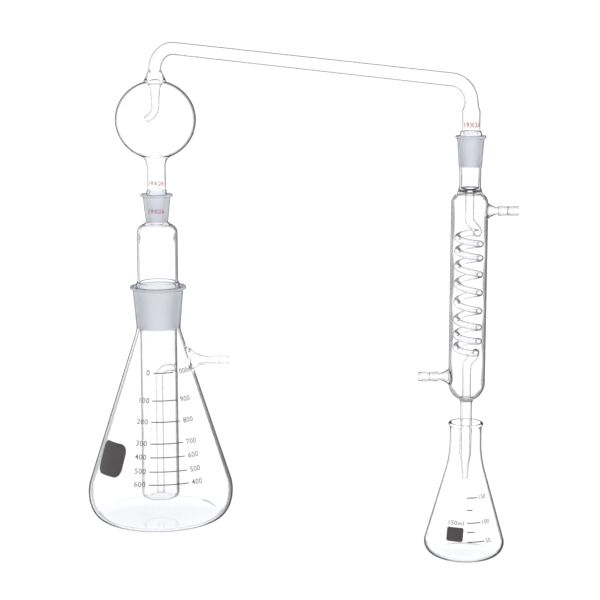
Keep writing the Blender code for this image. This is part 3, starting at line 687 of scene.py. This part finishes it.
def hose_arm(axis, wall_radius, mouth, side, height, base_radius, neck):
    """Outer solid and bore of a side arm: a trumpet off the wall, then a ridged hose end."""
    throat = mouth - wall_radius - HOSE_END
    spine = Spine([(*axis, height), (axis[0] + side, axis[1], height)])
    start = wall_radius
    outer = [(start - 5 * MM, base_radius + 2.6 * MM)]
    outer += eased(
        (start - 1.5 * MM, base_radius + 2.2 * MM),
        (start + 0.16 * throat, neck + 1.4 * MM),
        (start + 0.95 * throat, neck),
        12,
    )
    ridge = HOSE_END / HOSE_RIDGES
    edge = HOSE_RIDGE_RADIUS - 0.2 * MM
    for i in range(HOSE_RIDGES):
        foot = start + throat + i * ridge
        outer += [(foot, outer[-1][1]), (foot + 0.15 * MM, edge), (foot + 0.8 * MM, HOSE_RIDGE_RADIUS)]
        outer += [(foot + 0.6 * ridge, HOSE_RIDGE_RADIUS - 0.1 * MM), (foot + 0.88 * ridge, edge)]
        outer += [(foot + 0.92 * ridge, HOSE_WAIST), (foot + 0.99 * ridge, HOSE_WAIST)]
    outer = outer[:-2] + [(mouth - 0.3 * MM, edge - 0.1 * MM), (mouth, edge - 0.4 * MM)]
    funnel = (start - 1.0 * MM, base_radius - 1.6 * MM)
    inner = [(start - 6 * MM, base_radius - 1.2 * MM), funnel]
    inner += eased(funnel, (start + 0.2 * throat, HOSE_BORE), (start + throat, HOSE_BORE), 10)
    inner += [(mouth - 0.6 * MM, HOSE_BORE + 0.3 * MM), (mouth + 2 * MM, HOSE_BORE + 0.9 * MM)]
    return solid("arm", spine, outer, TUBE_ROUND), solid("arm_bore", spine, inner, TUBE_ROUND)


# ---------------- glass pieces


def flask_side():
    """The steam flask's outer side, from its heel to its neck."""
    socket = "flask_ground_socket"
    neck = radius_at_foot(BIG_JOINT_RADIUS, low(socket).z, high(socket).z) + FLASK_SOCKET[1]
    top = high("flask_shell").z
    bend = top - FLASK_NECK_STRAIGHT
    return conical(half_width("flask_shell"), FLASK_HEEL, 0.0, neck, bend, FLASK_NECK_BLEND, top)


def steam_flask():
    radius = half_width("flask_shell")
    neck_top = high("flask_shell").z
    mouth = high("flask_ground_socket").z
    foot = low("flask_ground_socket").z
    bore = radius_at_foot(BIG_JOINT_RADIUS, foot, mouth)
    bend = neck_top - FLASK_NECK_STRAIGHT
    contact = radius - FLASK_HEEL[0] - HEEL_RING
    outer = [(PUNT, 0.0), (0.7 * PUNT, 0.55 * radius), (0.05 * MM, contact)]
    outer = with_slot(outer + flask_side()[:-1], CLEAR)
    outer += socket_outside(BIG_JOINT_RADIUS, FLASK_SOCKET, foot, mouth)
    heel = thinner(FLASK_HEEL, FLASK_WALL)
    inner = [(PUNT + FLASK_BASE, 0.0), (0.7 * PUNT + FLASK_BASE, 0.55 * radius)]
    inner += [(FLASK_BASE + 0.05 * MM, contact)]
    inner += conical(radius - FLASK_WALL, heel, FLASK_BASE, bore, bend, FLASK_NECK_BLEND, neck_top)
    inner = with_slot(inner[:-1], CLEAR) + socket_bore(BIG_JOINT_RADIUS, foot, mouth)
    inner += open_mouth(BIG_JOINT_RADIUS, mouth)
    arm = "flask_side_arm"
    height = (low(arm).z + high(arm).z) / 2
    surface = cone_radius(flask_side())(height)
    arm_solid, arm_bore = hose_arm((0.0, 0.0), surface, high(arm).x, 1, height, 10.0 * MM, HOSE_WAIST)
    whole = solid("flask_outer", upright(), outer, ROUND)
    hollow = solid("flask_hollow", upright(), inner, ROUND)
    piece = combined("steam_flask_glass", "steam_flask", whole, [arm_solid], [hollow, arm_bore])
    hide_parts("flask_shell", "flask_side_arm", "flask_ground_socket")


def chamber():
    radius = half_width("chamber_vessel")
    bottom = low("chamber_vessel").z
    foot = low("chamber_ground_cone").z
    mouth = high("flask_ground_socket").z
    upper = half_width("chamber_upper_body")
    shoulder = high("chamber_upper_body").z
    small_foot = low("chamber_ground_socket").z
    small_mouth = high("chamber_ground_socket").z
    bore = radius_at_foot(SMALL_JOINT_RADIUS, small_foot, small_mouth)
    neck = bore + CHAMBER_SOCKET[1]
    wall = CHAMBER_WALL
    corner = CHAMBER_CORNER
    bend = CHAMBER_SHOULDER

    outer = [(bottom, 0.0, CLEAR), (bottom, radius - corner - HEEL_RING, CLEAR)]
    outer += with_slot(arc((radius - corner, bottom + corner), corner, -86, 0, 10), CLEAR)
    outer += [(foot - 3.5 * MM, radius - 0.6 * MM, CLEAR)]
    outer += cone_outside(BIG_JOINT_RADIUS, foot, mouth, upper)
    outer += with_slot(arc((upper - bend, shoulder - bend - 1 * MM), bend, 0, 74, 10), CLEAR)
    outer += [(shoulder + 0.2 * MM, neck + 0.6 * MM, CLEAR)]
    outer += socket_outside(SMALL_JOINT_RADIUS, CHAMBER_SOCKET, small_foot + 0.5 * MM, small_mouth)

    inner = [(bottom + wall, 0.0), (bottom + wall, radius - corner - HEEL_RING)]
    inner += arc((radius - corner, bottom + corner), corner - wall, -86, 0, 10)
    inner += [(foot - 3.5 * MM, radius - wall), (foot + 2 * MM, radius - wall), (mouth - 2 * MM, radius)]
    inner += [(mouth + CONE_COLLAR, upper - wall)]
    inner += arc((upper - bend, shoulder - bend - 1 * MM), bend - wall, 0, 74, 10)
    inner += [(shoulder - 0.6 * MM, bore + 0.4 * MM), (small_foot + 0.5 * MM, bore)]
    inner = with_slot(inner, CLEAR) + socket_bore(SMALL_JOINT_RADIUS, small_foot + 1 * MM, small_mouth)
    inner += open_mouth(SMALL_JOINT_RADIUS, small_mouth)

    height = high("steam_inlet_tube").z - STEAM_TUBE_RADIUS
    through = [(place, STEAM_HOLE_RADIUS) for place in (radius - 5 * MM, radius + 5 * MM)]
    hole = solid("steam_hole", Spine([(0, 0, height), (1, 0, height)]), through, TUBE_ROUND)
    whole = solid("chamber_outer", upright(), outer, ROUND)
    hollow = solid("chamber_hollow", upright(), inner, ROUND)
    piece = combined("reaction_chamber_glass", "reaction_chamber", whole, [], [hollow, hole])
    nodes = ["chamber_vessel", "chamber_ground_cone", "chamber_upper_body", "chamber_ground_socket"]
    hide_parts(*nodes)


def steam_tube():
    node = "steam_inlet_tube"
    radius = STEAM_TUBE_RADIUS
    wall = half_width("chamber_vessel") - CHAMBER_WALL
    height = high(node).z - radius
    corners = [(0, 0, low(node).z), (0, 0, height), (wall - 0.1 * MM, 0, height)]
    spine = Spine(rounded(corners, STEAM_TUBE_BEND, 14))
    end = spine.stations[-1]
    rim = 0.3 * MM
    bore = radius - STEAM_TUBE_WALL
    outer = [(0, radius - rim), (rim, radius), (end - 2.6 * MM, radius), (end - 1.0 * MM, radius + 0.7 * MM)]
    outer += [(end, radius + 2.2 * MM)]
    inner = [(0, bore), (end - 2 * MM, bore), (end, bore + 0.2 * MM)]
    piece = shell("steam_inlet_glass", "reaction_chamber", spine, outer, inner, TUBE_ROUND)
    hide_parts(node)


def rounded(corners, radius, steps):
    """A path through the corners, with each inner one rounded to the radius."""
    path = [Vector(corners[0])]
    for before, corner, after in zip(corners, corners[1:], corners[2:]):
        corner = Vector(corner)
        back = (Vector(before) - corner).normalized()
        on = (Vector(after) - corner).normalized()
        half = back.angle(on) / 2
        centre = corner + (back + on).normalized() * (radius / math.sin(half))
        first = corner + back * (radius / math.tan(half)) - centre
        last = corner + on * (radius / math.tan(half)) - centre
        path += [centre + first.slerp(last, i / steps) * radius for i in range(steps + 1)]
    return path + [Vector(corners[-1])]


def splash_head():
    foot = low("head_ground_cone").z
    mouth = high("chamber_ground_socket").z
    stem = HEAD_STEM_RADIUS
    stem_top = high("head_ground_cone").z
    bulb_radius = half_width("splash_bulb")
    crown = high("splash_bulb").z
    collar_top = high("bulb_collar").z
    delivery_foot = low("delivery_ground_cone").z
    delivery_top = high("delivery_ground_cone").z
    delivery_mouth = high("condenser_ground_socket").z
    bulb_half = BULB_HALF_HEIGHT
    centre = crown - bulb_half * math.sqrt(1 - (BULB_CROWN_RADIUS / bulb_radius) ** 2)

    # The spine runs up the head's axis, along the bridge and down the condenser's axis.
    run = math.hypot(*CONDENSER_AXIS)
    right_bend = BRIDGE_BEND * math.tan((math.pi / 2 - BRIDGE_FALL) / 2) + BRIDGE_DROP
    corner_right = low("bridge_tube").z + right_bend
    corner_left = corner_right + run * math.tan(BRIDGE_FALL)
    corners = [(0, 0, foot), (0, 0, corner_left), (*CONDENSER_AXIS, corner_right)]
    corners += [(*CONDENSER_AXIS, delivery_foot)]
    spine = Spine(rounded(corners, BRIDGE_BEND, 40))
    length = spine.stations[-1]

    def up(height):
        return height - foot

    def down(height):
        return length - (height - delivery_foot)

    def both(outline, place):
        return [(place(s), r, *rest) for s, r, *rest in outline]

    start = math.degrees(math.asin((stem + BULB_FLARE) / bulb_radius)) - 90
    finish = math.degrees(math.acos(BULB_CROWN_RADIUS / bulb_radius))
    globe = ellipse((0, centre), bulb_radius, bulb_half, start, finish, 40)
    slant = bulb_half / bulb_radius * math.tan(math.radians(start + 90))
    neck_corner = (globe[0][0] - BULB_FLARE * slant, stem)
    outer = both(cone_outside(SMALL_JOINT_RADIUS, foot, mouth, stem), up)
    swell = eased((stem_top, stem), neck_corner, globe[0], 10)
    outer += both(with_slot(swell + globe[1:], CLEAR), up)
    # A thick collar, straight like a funnel, joins the crown to the bridge tube.
    seal = globe[-1]
    collar = [(seal[0] + 0.9 * MM, seal[1] - 0.15 * MM), (collar_top - 1.2 * MM, 6.7 * MM)]
    collar += [(collar_top - 0.3 * MM, 6.5 * MM), (collar_top + 0.4 * MM, 5.9 * MM)]
    outer += both(with_slot(collar, CLEAR), up)
    outer += [(up(collar_top + 1.5 * MM), BRIDGE_RADIUS, CLEAR)]
    outer += [(down(delivery_top + 2.0 * MM), BRIDGE_RADIUS, CLEAR)]
    neck = DELIVERY_STEM_RADIUS
    bulge = [(delivery_top + 0.8 * MM, BRIDGE_RADIUS + 0.5 * MM)]
    bulge += [(delivery_top - 0.4 * MM, BRIDGE_RADIUS + 0.6 * MM)]
    bulge += [(delivery_top - 1.6 * MM, BRIDGE_RADIUS + 0.4 * MM)]
    bulge += [(delivery_top - 3.2 * MM, BRIDGE_RADIUS + 1.1 * MM)]
    bulge += [(delivery_top - 5.0 * MM, neck - 0.2 * MM), (delivery_top - 7.0 * MM, neck)]
    outer += both(with_slot(bulge, CLEAR), down)
    cone = both(cone_outside(SMALL_JOINT_RADIUS, delivery_foot, delivery_mouth, neck), down)[::-1]
    slots = [p[2] for p in cone[1:]] + [CLEAR]
    outer += [(s, r, slot) for (s, r, _), slot in zip(cone, slots)]

    bore = stem - STEM_WALL
    tube = BRIDGE_RADIUS - TUBE_WALL
    hollow = (bulb_radius - BULB_WALL, bulb_half - BULB_WALL)
    inner_globe = ellipse((0, centre), *hollow, start + 1.5, finish - 2.5, 40)
    inner_corner = (inner_globe[0][0] - BULB_FLARE * slant, bore)
    inner = [(up(foot), bore - 0.2 * MM), (up(stem_top), bore)]
    inner += both(eased((stem_top, bore), inner_corner, inner_globe[0], 10)[1:] + inner_globe[1:], up)
    inner += [(up(seal[0] + 0.2 * MM), 5.2 * MM), (up(collar_top - 1.0 * MM), tube - 0.3 * MM)]
    inner += [(up(collar_top + 1.5 * MM), tube)]
    inner += [(down(delivery_top + 1.0 * MM), tube)]
    inner += [(down(delivery_top - 4.0 * MM), neck - STEM_WALL - 0.3 * MM)]
    inner += [(down(delivery_top - 6.0 * MM), neck - STEM_WALL), (length, bore - 0.2 * MM)]
    piece = shell("splash_head_glass", "splash_head", spine, outer, inner, 64)
    nodes = ["head_ground_cone", "splash_bulb", "bulb_collar", "bridge_tube", "delivery_ground_cone"]
    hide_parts(*nodes)
    return seal[0]


def splash_guard(seal_height):
    """The guard tube, which narrows from the bulb's crown to its bent foot."""
    node = "splash_guard_tube"
    top = seal_height - 1.7 * MM
    elbow = high(node).z - GUARD_DROP
    foot = Vector((-math.sin(GUARD_LEAN), 0, -math.cos(GUARD_LEAN))) * GUARD_FOOT
    spine = Spine(rounded([(0, 0, top), (0, 0, elbow), Vector((0, 0, elbow)) + foot], GUARD_ELBOW, 16))
    end = spine.stations[-1]
    outer = [(0, 7.6 * MM), (1.6 * MM, 5.6 * MM), (4.5 * MM, 4.3 * MM), (12 * MM, 3.7 * MM)]
    outer += [(end - 0.3 * MM, 2.9 * MM), (end, 2.6 * MM)]
    inner = [(0, 6.6 * MM), (1.6 * MM, 4.7 * MM), (4.5 * MM, 3.4 * MM), (12 * MM, 2.8 * MM)]
    inner += [(end, 2.05 * MM)]
    piece = shell("splash_guard_glass", "splash_head", spine, outer, inner, TUBE_ROUND)
    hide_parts(node)


def coil_point(turn, first, last):
    u = turn / COIL_TURNS
    settled = u - COIL_END_CROWDING * math.sin(2 * math.pi * u) / (2 * math.pi)
    angle = 2 * math.pi * turn
    x, y = CONDENSER_AXIS
    height = first + (last - first) * settled
    return Vector((x + COIL_RADIUS * math.cos(angle), y + COIL_RADIUS * math.sin(angle), height))


def hermite(start, leaving, end, arriving, steps):
    path = []
    for i in range(1, steps):
        t = i / steps
        path.append(
            (2 * t**3 - 3 * t**2 + 1) * start
            + (t**3 - 2 * t**2 + t) * leaving
            + (3 * t**2 - 2 * t**3) * end
            + (t**3 - t**2) * arriving
        )
    return path


def coil():
    """The condenser's inner tube: a wide lead, the coil, and a wide lead back to the axis."""
    x, y = CONDENSER_AXIS
    first = low("coil_inlet_tube").z + COIL_SEAT
    last = high("coil_outlet_tube").z - COIL_SEAT
    top = high("upper_ring_seal").z - LEAD_SEAT
    bottom = low("lower_ring_seal").z + LEAD_SEAT
    middle = Vector((x, y, (first + last) / 2))
    end = Vector((x + LEAD_SWING, y, first))
    arriving = Vector((0.15, 0.45, -1)).normalized()
    bend = Vector((x, y, first + LEAD_BEND_HEIGHT))
    lead = [bend] + hermite(bend, Vector((0, 0, -14 * MM)), end, arriving * 12 * MM, 18) + [end]
    skip = COIL_STEPS // 6
    halfway = COIL_TURNS * COIL_STEPS // 2
    helix = [coil_point(i / COIL_STEPS, first, last) for i in range(skip, halfway + 1)]
    pull = (helix[1] - helix[0]).normalized() * 8 * MM
    joined = hermite(end, arriving * 8 * MM, helix[0], pull, 10)
    half = lead + joined + helix

    def upended(path):
        return [Vector((p.x, 2 * middle.y - p.y, 2 * middle.z - p.z)) for p in path]

    path = [Vector((x, y, top))] + half + upended(half)[-2::-1] + [Vector((x, y, bottom))]
    spine = Spine(path)
    a = spine.stations[1 + len(lead) - 5]
    b = spine.stations[1 + len(lead) + 6]
    far = len(path) - 1
    c = spine.stations[far - len(lead) - 6]
    d = spine.stations[far - len(lead) + 5]
    end = spine.stations[-1]
    walls = []
    bores = (LEAD_RADIUS - LEAD_WALL, COIL_TUBE_RADIUS - COIL_TUBE_WALL)
    for wide, narrow in ((LEAD_RADIUS, COIL_TUBE_RADIUS), bores):
        walls.append([(0, wide), (a, wide), (b, narrow), (c, narrow), (d, wide), (end, wide)])
    piece = shell("condenser_coil_glass", "coil_condenser", spine, *walls, COIL_ROUND)
    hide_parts("coil_inlet_tube", "condenser_coil", "coil_outlet_tube")


def condenser():
    spine = upright(CONDENSER_AXIS)
    tip = low("drip_tube").z
    foot = high("drip_tube").z
    top = high("condenser_jacket").z
    socket_foot = low("condenser_ground_socket").z
    mouth = high("condenser_ground_socket").z
    neck = half_width("condenser_neck")
    jacket = half_width("condenser_jacket")
    drip = DRIP_RADIUS
    drip_tip = DRIP_TIP_RADIUS
    taper = DRIP_TAPER

    narrow = (tip + 0.5 * taper, drip_tip + 0.35 * MM)
    wide = (tip + taper + 4 * MM, drip)
    outer = [(tip, drip_tip - 0.35 * MM), (tip + 0.4 * MM, drip_tip), narrow]
    outer += eased(narrow, (tip + taper, drip_tip + 1.4 * MM), wide, 6)[1:]
    outer += [(foot - 3 * MM, drip)]
    drawn = ellipse((0, foot + JACKET_FOOT), jacket, JACKET_FOOT, -64, 0, 14)
    outer += eased((foot - 3 * MM, drip), (foot, drip), drawn[0], 4)[1:] + drawn[1:]
    bend = JACKET_SHOULDER
    shoulder = arc((jacket - bend, top - bend - 2.5 * MM), bend, 0, 62, 12)
    outer += shoulder
    drawn_in = (top + 1.2 * MM, neck + 0.25 * MM)
    outer += eased(shoulder[-1], (top - 0.5 * MM, neck + 0.8 * MM), drawn_in, 4)[1:]
    outer += [(top + 3 * MM, neck), (socket_foot - 1.5 * MM, neck)]
    outer = with_slot(outer, CLEAR)
    outer += socket_outside(SMALL_JOINT_RADIUS, CONDENSER_SOCKET, socket_foot, mouth)

    bore = radius_at_foot(SMALL_JOINT_RADIUS, socket_foot, mouth)
    lead_bore = LEAD_RADIUS - LEAD_WALL
    inside = neck - STEM_WALL
    seal = (top - 1.6 * MM, lead_bore)
    vapour = [(top - RING_SEAL_HEIGHT - 1.0 * MM, lead_bore), seal]
    vapour += eased(seal, (top - 0.4 * MM, lead_bore), (top + 1.4 * MM, inside), 6)[1:]
    vapour += [(socket_foot - 1 * MM, inside), (socket_foot + 0.5 * MM, bore)]
    vapour = with_slot(vapour, CLEAR) + socket_bore(SMALL_JOINT_RADIUS, socket_foot + 1 * MM, mouth)
    vapour += open_mouth(SMALL_JOINT_RADIUS, mouth)

    drain = [(tip - 2 * MM, drip_tip - 0.8 * MM), (tip + 0.5 * taper, drip_tip - 0.8 * MM)]
    drain += [(tip + taper + 3 * MM, drip - STEM_WALL), (foot, drip - STEM_WALL)]
    drain += [(foot + RING_SEAL_HEIGHT + 1.0 * MM, lead_bore)]

    wall = JACKET_WALL
    water = [(foot + 1.8 * MM, 0.0), (foot + 1.8 * MM, 4.6 * MM)]
    hollow = ellipse((0, foot + JACKET_FOOT), jacket - wall, JACKET_FOOT - wall, -58, 0, 14)
    water += [p for p in hollow if p[0] > foot + 2.0 * MM]
    water += arc((jacket - bend, top - bend - 2.5 * MM), bend - wall, 0, 70, 10)
    water += [(top - 2.0 * MM, neck - 0.4 * MM), (top - 2.6 * MM, 4.6 * MM)]

    arms = []
    bores = []
    for node, side in (("coolant_outlet_arm", 1), ("coolant_inlet_arm", -1)):
        height = (low(node).z + high(node).z) / 2
        far = high(node).x - spine.points[0].x if side > 0 else spine.points[0].x - low(node).x
        arm, arm_bore = hose_arm(CONDENSER_AXIS, jacket, far, side, height, 6.4 * MM, 2.8 * MM)
        arms.append(arm)
        bores.append(arm_bore)
    whole = solid("condenser_outer", spine, outer, ROUND)
    cavities = [
        solid("vapour_bore", spine, vapour, ROUND),
        solid("drain_bore", spine, drain, TUBE_ROUND),
        solid("water_space", spine, water, ROUND),
    ]
    piece = combined("condenser_glass", "coil_condenser", whole, arms, cavities + bores)
    nodes = ["condenser_ground_socket", "condenser_neck", "condenser_jacket", "coolant_outlet_arm"]
    nodes += ["coolant_inlet_arm", "upper_ring_seal", "lower_ring_seal", "drip_tube"]
    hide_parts(*nodes)


def receiver_side(wall, base, top):
    """The receiver's side, in by the wall and up by the base, from its heel to the top of its neck."""
    node = "receiver_vessel"
    heel = thinner(RECEIVER_HEEL, wall)
    neck = RECEIVER_NECK_RADIUS - wall
    bend = high(node).z - RECEIVER_NECK_HEIGHT
    return conical(half_width(node) - wall, heel, base, neck, bend, RECEIVER_NECK_BLEND, top)


def receiver():
    node = "receiver_vessel"
    radius = half_width(node)
    top = high(node).z
    neck = RECEIVER_NECK_RADIUS
    wall = RECEIVER_WALL
    base = RECEIVER_BASE
    contact = radius - RECEIVER_HEEL[0] - HEEL_RING
    outer = [(0.8 * PUNT, 0.0), (0.5 * PUNT, 0.55 * radius), (0.05 * MM, contact)]
    outer += receiver_side(0.0, 0.0, top - 4.2 * MM)
    outer += arc((neck - 0.1 * MM, top - RECEIVER_BEAD), RECEIVER_BEAD, -60, 90, 8)
    inner = [(0.8 * PUNT + base, 0.0), (0.5 * PUNT + base, 0.55 * radius), (base + 0.05 * MM, contact)]
    inner += receiver_side(wall, base, top - 1.4 * MM)
    inner += [(top - 0.5 * MM, neck - wall + 0.2 * MM), (top - 0.1 * MM, neck - 0.7 * MM)]
    piece = shell("receiver_glass", "receiver_flask", upright(CONDENSER_AXIS), outer, inner, ROUND)
    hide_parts(node)


# ---------------- enamel scales


def flattened_text(words, size):
    """A bmesh of the words, centred on the origin in the XY plane."""
    curve = bpy.data.curves.new("words", "FONT")
    curve.body = words
    curve.size = size
    curve.space_character = LETTER_SPACING
    curve.align_x = "CENTER"
    curve.align_y = "CENTER"
    curve.resolution_u = 3
    curve.offset = TEXT_BOLDNESS
    holder = linked("words", curve)
    bm = evaluated(holder)
    bpy.data.objects.remove(holder)
    return bm


def bar(width, height, columns=12):
    """A flat row of small faces, centred on the origin in the XY plane."""
    bm = bmesh.new()
    places = [width * (i / columns - 0.5) for i in range(columns + 1)]
    below, above = ([bm.verts.new((x, y, 0)) for x in places] for y in (-height / 2, height / 2))
    for i in range(columns):
        bm.faces.new((below[i], below[i + 1], above[i + 1], above[i]))
    return bm


def plate(width, height, corner, columns=32, rows=8):
    """A flat plate with round corners, made of columns of faces."""
    bm = bmesh.new()
    edges = []
    for i in range(columns + 1):
        x = width * (i / columns - 0.5)
        past = max(0.0, abs(x) - (width / 2 - corner))
        trim = corner - math.sqrt(max(corner**2 - past**2, 0.0))
        half = height / 2 - trim
        edges.append([bm.verts.new((x, half * (2 * j / rows - 1), 0)) for j in range(rows + 1)])
    for a, b in zip(edges, edges[1:]):
        for j in range(rows):
            bm.faces.new((a[j], b[j], b[j + 1], a[j + 1]))
    return bm


def wrapped(name, body, marks, axis, radius_at, slope, material):
    """Marks laid on a cone as one thin piece. Each is (bmesh, angle in degrees, height)."""
    joined = bmesh.new()
    lean = math.atan(slope)
    for bm, angle, height in marks:
        bmesh.ops.solidify(bm, geom=bm.faces[:], thickness=-ENAMEL_LIFT)
        lookup = {}
        for vert in bm.verts:
            z = height + vert.co.y * math.cos(lean)
            radius = radius_at(z)
            turn = math.radians(angle) + vert.co.x / radius
            off = ENAMEL_LIFT * 0.4 + abs(vert.co.z)
            r = radius + off * math.cos(lean)
            place = (axis[0] + r * math.sin(turn), axis[1] - r * math.cos(turn), z + off * math.sin(lean))
            lookup[vert] = joined.verts.new(place)
        for face in bm.faces:
            joined.faces.new([lookup[v] for v in face.verts])
        bm.free()
    bmesh.ops.recalc_face_normals(joined, faces=joined.faces)
    mesh = mesh_of(name, joined)
    mesh.materials.append(material)
    carried(linked(name, mesh), body)


def cone_radius(outline):
    """The radius at a height on the straight side of a flask's outline."""
    points = sorted((z, r) for z, r in outline if r > 0)

    def at(height):
        for (z0, r0), (z1, r1) in zip(points, points[1:]):
            if z0 <= height <= z1 and z1 > z0:
                return r0 + (r1 - r0) * (height - z0) / (z1 - z0)
        return points[-1][1]

    return at


def line(start, end, height, radius):
    """A graduation between two angles, in degrees, as a mark for wrapped."""
    return bar(math.radians(end - start) * radius, LINE_THICKNESS), (start + end) / 2, height


def number(words, size, beside, gap, height, radius, side=1):
    """Words that start, or for side -1 end, at a gap from an angle, as a mark for wrapped."""
    text = flattened_text(words, size)
    places = [vert.co.x for vert in text.verts]
    half = (max(places) - min(places)) / 2
    return text, beside + side * math.degrees((gap + half) / radius), height


def scale(name, body, axis, lines, numbers, patch, on, slope):
    """A flask's enamel: its graduations, numbers and plain marking patch."""
    for part, marks in (("scale_lines", lines), ("scale_numbers", numbers), ("marking_patch", [patch])):
        wrapped(f"{name}_{part}", body, marks, axis, on, slope, GREY_ENAMEL)


def flask_scale():
    on = cone_radius(flask_side())
    start, end = FLASK_LINE
    lines = []
    numbers = []
    for level, left, right in FLASK_GRADUATIONS:
        place = (level * MM, on(level * MM))
        lines.append(line(start, end, *place))
        numbers.append(number(left, FLASK_NUMBER_SIZE, start, FLASK_NUMBER_GAP, *place, -1))
        numbers.append(number(right, FLASK_NUMBER_SIZE, end, FLASK_NUMBER_GAP, *place))
    patch = (plate(34 * MM, 31 * MM, 8.0 * MM), -48.5, 63.5 * MM)
    scale("flask", "steam_flask", (0, 0), lines, numbers, patch, on, FLASK_SLOPE)


def receiver_scale():
    on = cone_radius(receiver_side(0.0, 0.0, high("receiver_vessel").z))
    lines = []
    numbers = []
    for level, end, words in RECEIVER_GRADUATIONS:
        place = (level * MM, on(level * MM))
        lines.append(line(RECEIVER_LINE_START, end, *place))
        if words:
            numbers.append(number(words, RECEIVER_NUMBER_SIZE, end, RECEIVER_NUMBER_GAP, *place))
    label = flattened_text("150ml", RECEIVER_VOLUME_SIZE)
    numbers.append((label, RECEIVER_LABEL_ANGLE, 35.2 * MM))
    patch = (plate(14.5 * MM, 12 * MM, 1.6 * MM), RECEIVER_LABEL_ANGLE, 26.0 * MM)
    scale("receiver", "receiver_flask", CONDENSER_AXIS, lines, numbers, patch, on, RECEIVER_SLOPE)


def joint_marks():
    socket_top = high("chamber_ground_socket").z
    mouth_wall, foot_wall, _ = CHAMBER_SOCKET
    slope = GROUND_SLOPE + (mouth_wall - foot_wall) / (socket_top - low("chamber_ground_socket").z)
    delivery = high("condenser_ground_socket").z + 9 * MM

    def on_socket(z):
        return SMALL_JOINT_RADIUS + mouth_wall + 0.1 * MM - slope * (socket_top - z)

    for name, body, axis, height, on in (
        ("chamber", "reaction_chamber", (0, 0), socket_top - 15 * MM, on_socket),
        ("head", "splash_head", (0, 0), socket_top + 10 * MM, lambda z: HEAD_STEM_RADIUS),
        ("delivery", "splash_head", CONDENSER_AXIS, delivery, lambda z: DELIVERY_STEM_RADIUS),
    ):
        mark = (flattened_text("19X26", JOINT_MARK_SIZE), 0.0, height)
        wrapped(f"{name}_joint_mark", body, [mark], axis, on, 0.0, RED_ENAMEL)


# ---------------- stage


def stage():
    bm = bmesh.new()
    bmesh.ops.create_circle(bm, cap_ends=True, radius=6.0, segments=96)
    for vert in bm.verts:
        vert.co.z = -0.2 * MM
    mesh = mesh_of("floor", bm)
    material, _, shader = new_material("pale_floor")
    shader.inputs["Base Color"].default_value = (0.93, 0.93, 0.935, 1.0)
    shader.inputs["Roughness"].default_value = 0.9
    shader.inputs["Specular IOR Level"].default_value = 0.1
    mesh.materials.append(material)
    linked("floor", mesh)

    world = bpy.data.worlds.new("studio")
    bpy.context.scene.world = world
    world.use_nodes = True
    tree = world.node_tree
    background = tree.nodes["Background"]
    place = tree.nodes.new("ShaderNodeTexCoord")
    split = tree.nodes.new("ShaderNodeSeparateXYZ")
    tree.links.new(place.outputs["Generated"], split.inputs[0])
    levels = ((0.22, 0.45), (0.30, 0.35), (0.5, 0.37), (0.70, 0.59))
    greys = [(rise, (level, level, level)) for rise, level in levels]
    sky = ramp(tree, split.outputs["Z"], *greys, interpolation="EASE")
    tree.links.new(sky, background.inputs["Color"])
    background.inputs["Strength"].default_value = 2.3


def camera():
    data = bpy.data.cameras.new("camera")
    data.lens = 100.0
    data.sensor_width = 36.0
    data.clip_end = 30.0
    seat = linked("camera", data)
    seat.location = (0.1296, -1.5, 0.4677)
    seat.rotation_euler = (math.radians(80.0), 0, 0)
    bpy.context.scene.camera = seat


def light_paths():
    """Enough bounces for sight lines that cross many glass walls."""
    scene = bpy.context.scene
    scene.view_settings.view_transform = "Standard"
    scene.cycles.max_bounces = 40
    scene.cycles.transmission_bounces = 40
    scene.cycles.glossy_bounces = 6
    scene.cycles.diffuse_bounces = 3
    scene.cycles.transparent_max_bounces = 48
    scene.cycles.caustics_reflective = False
    scene.cycles.caustics_refractive = False


camera()
stage()
light_paths()
steam_flask()
chamber()
steam_tube()
splash_guard(splash_head())
condenser()
coil()
receiver()
flask_scale()
receiver_scale()
joint_marks()
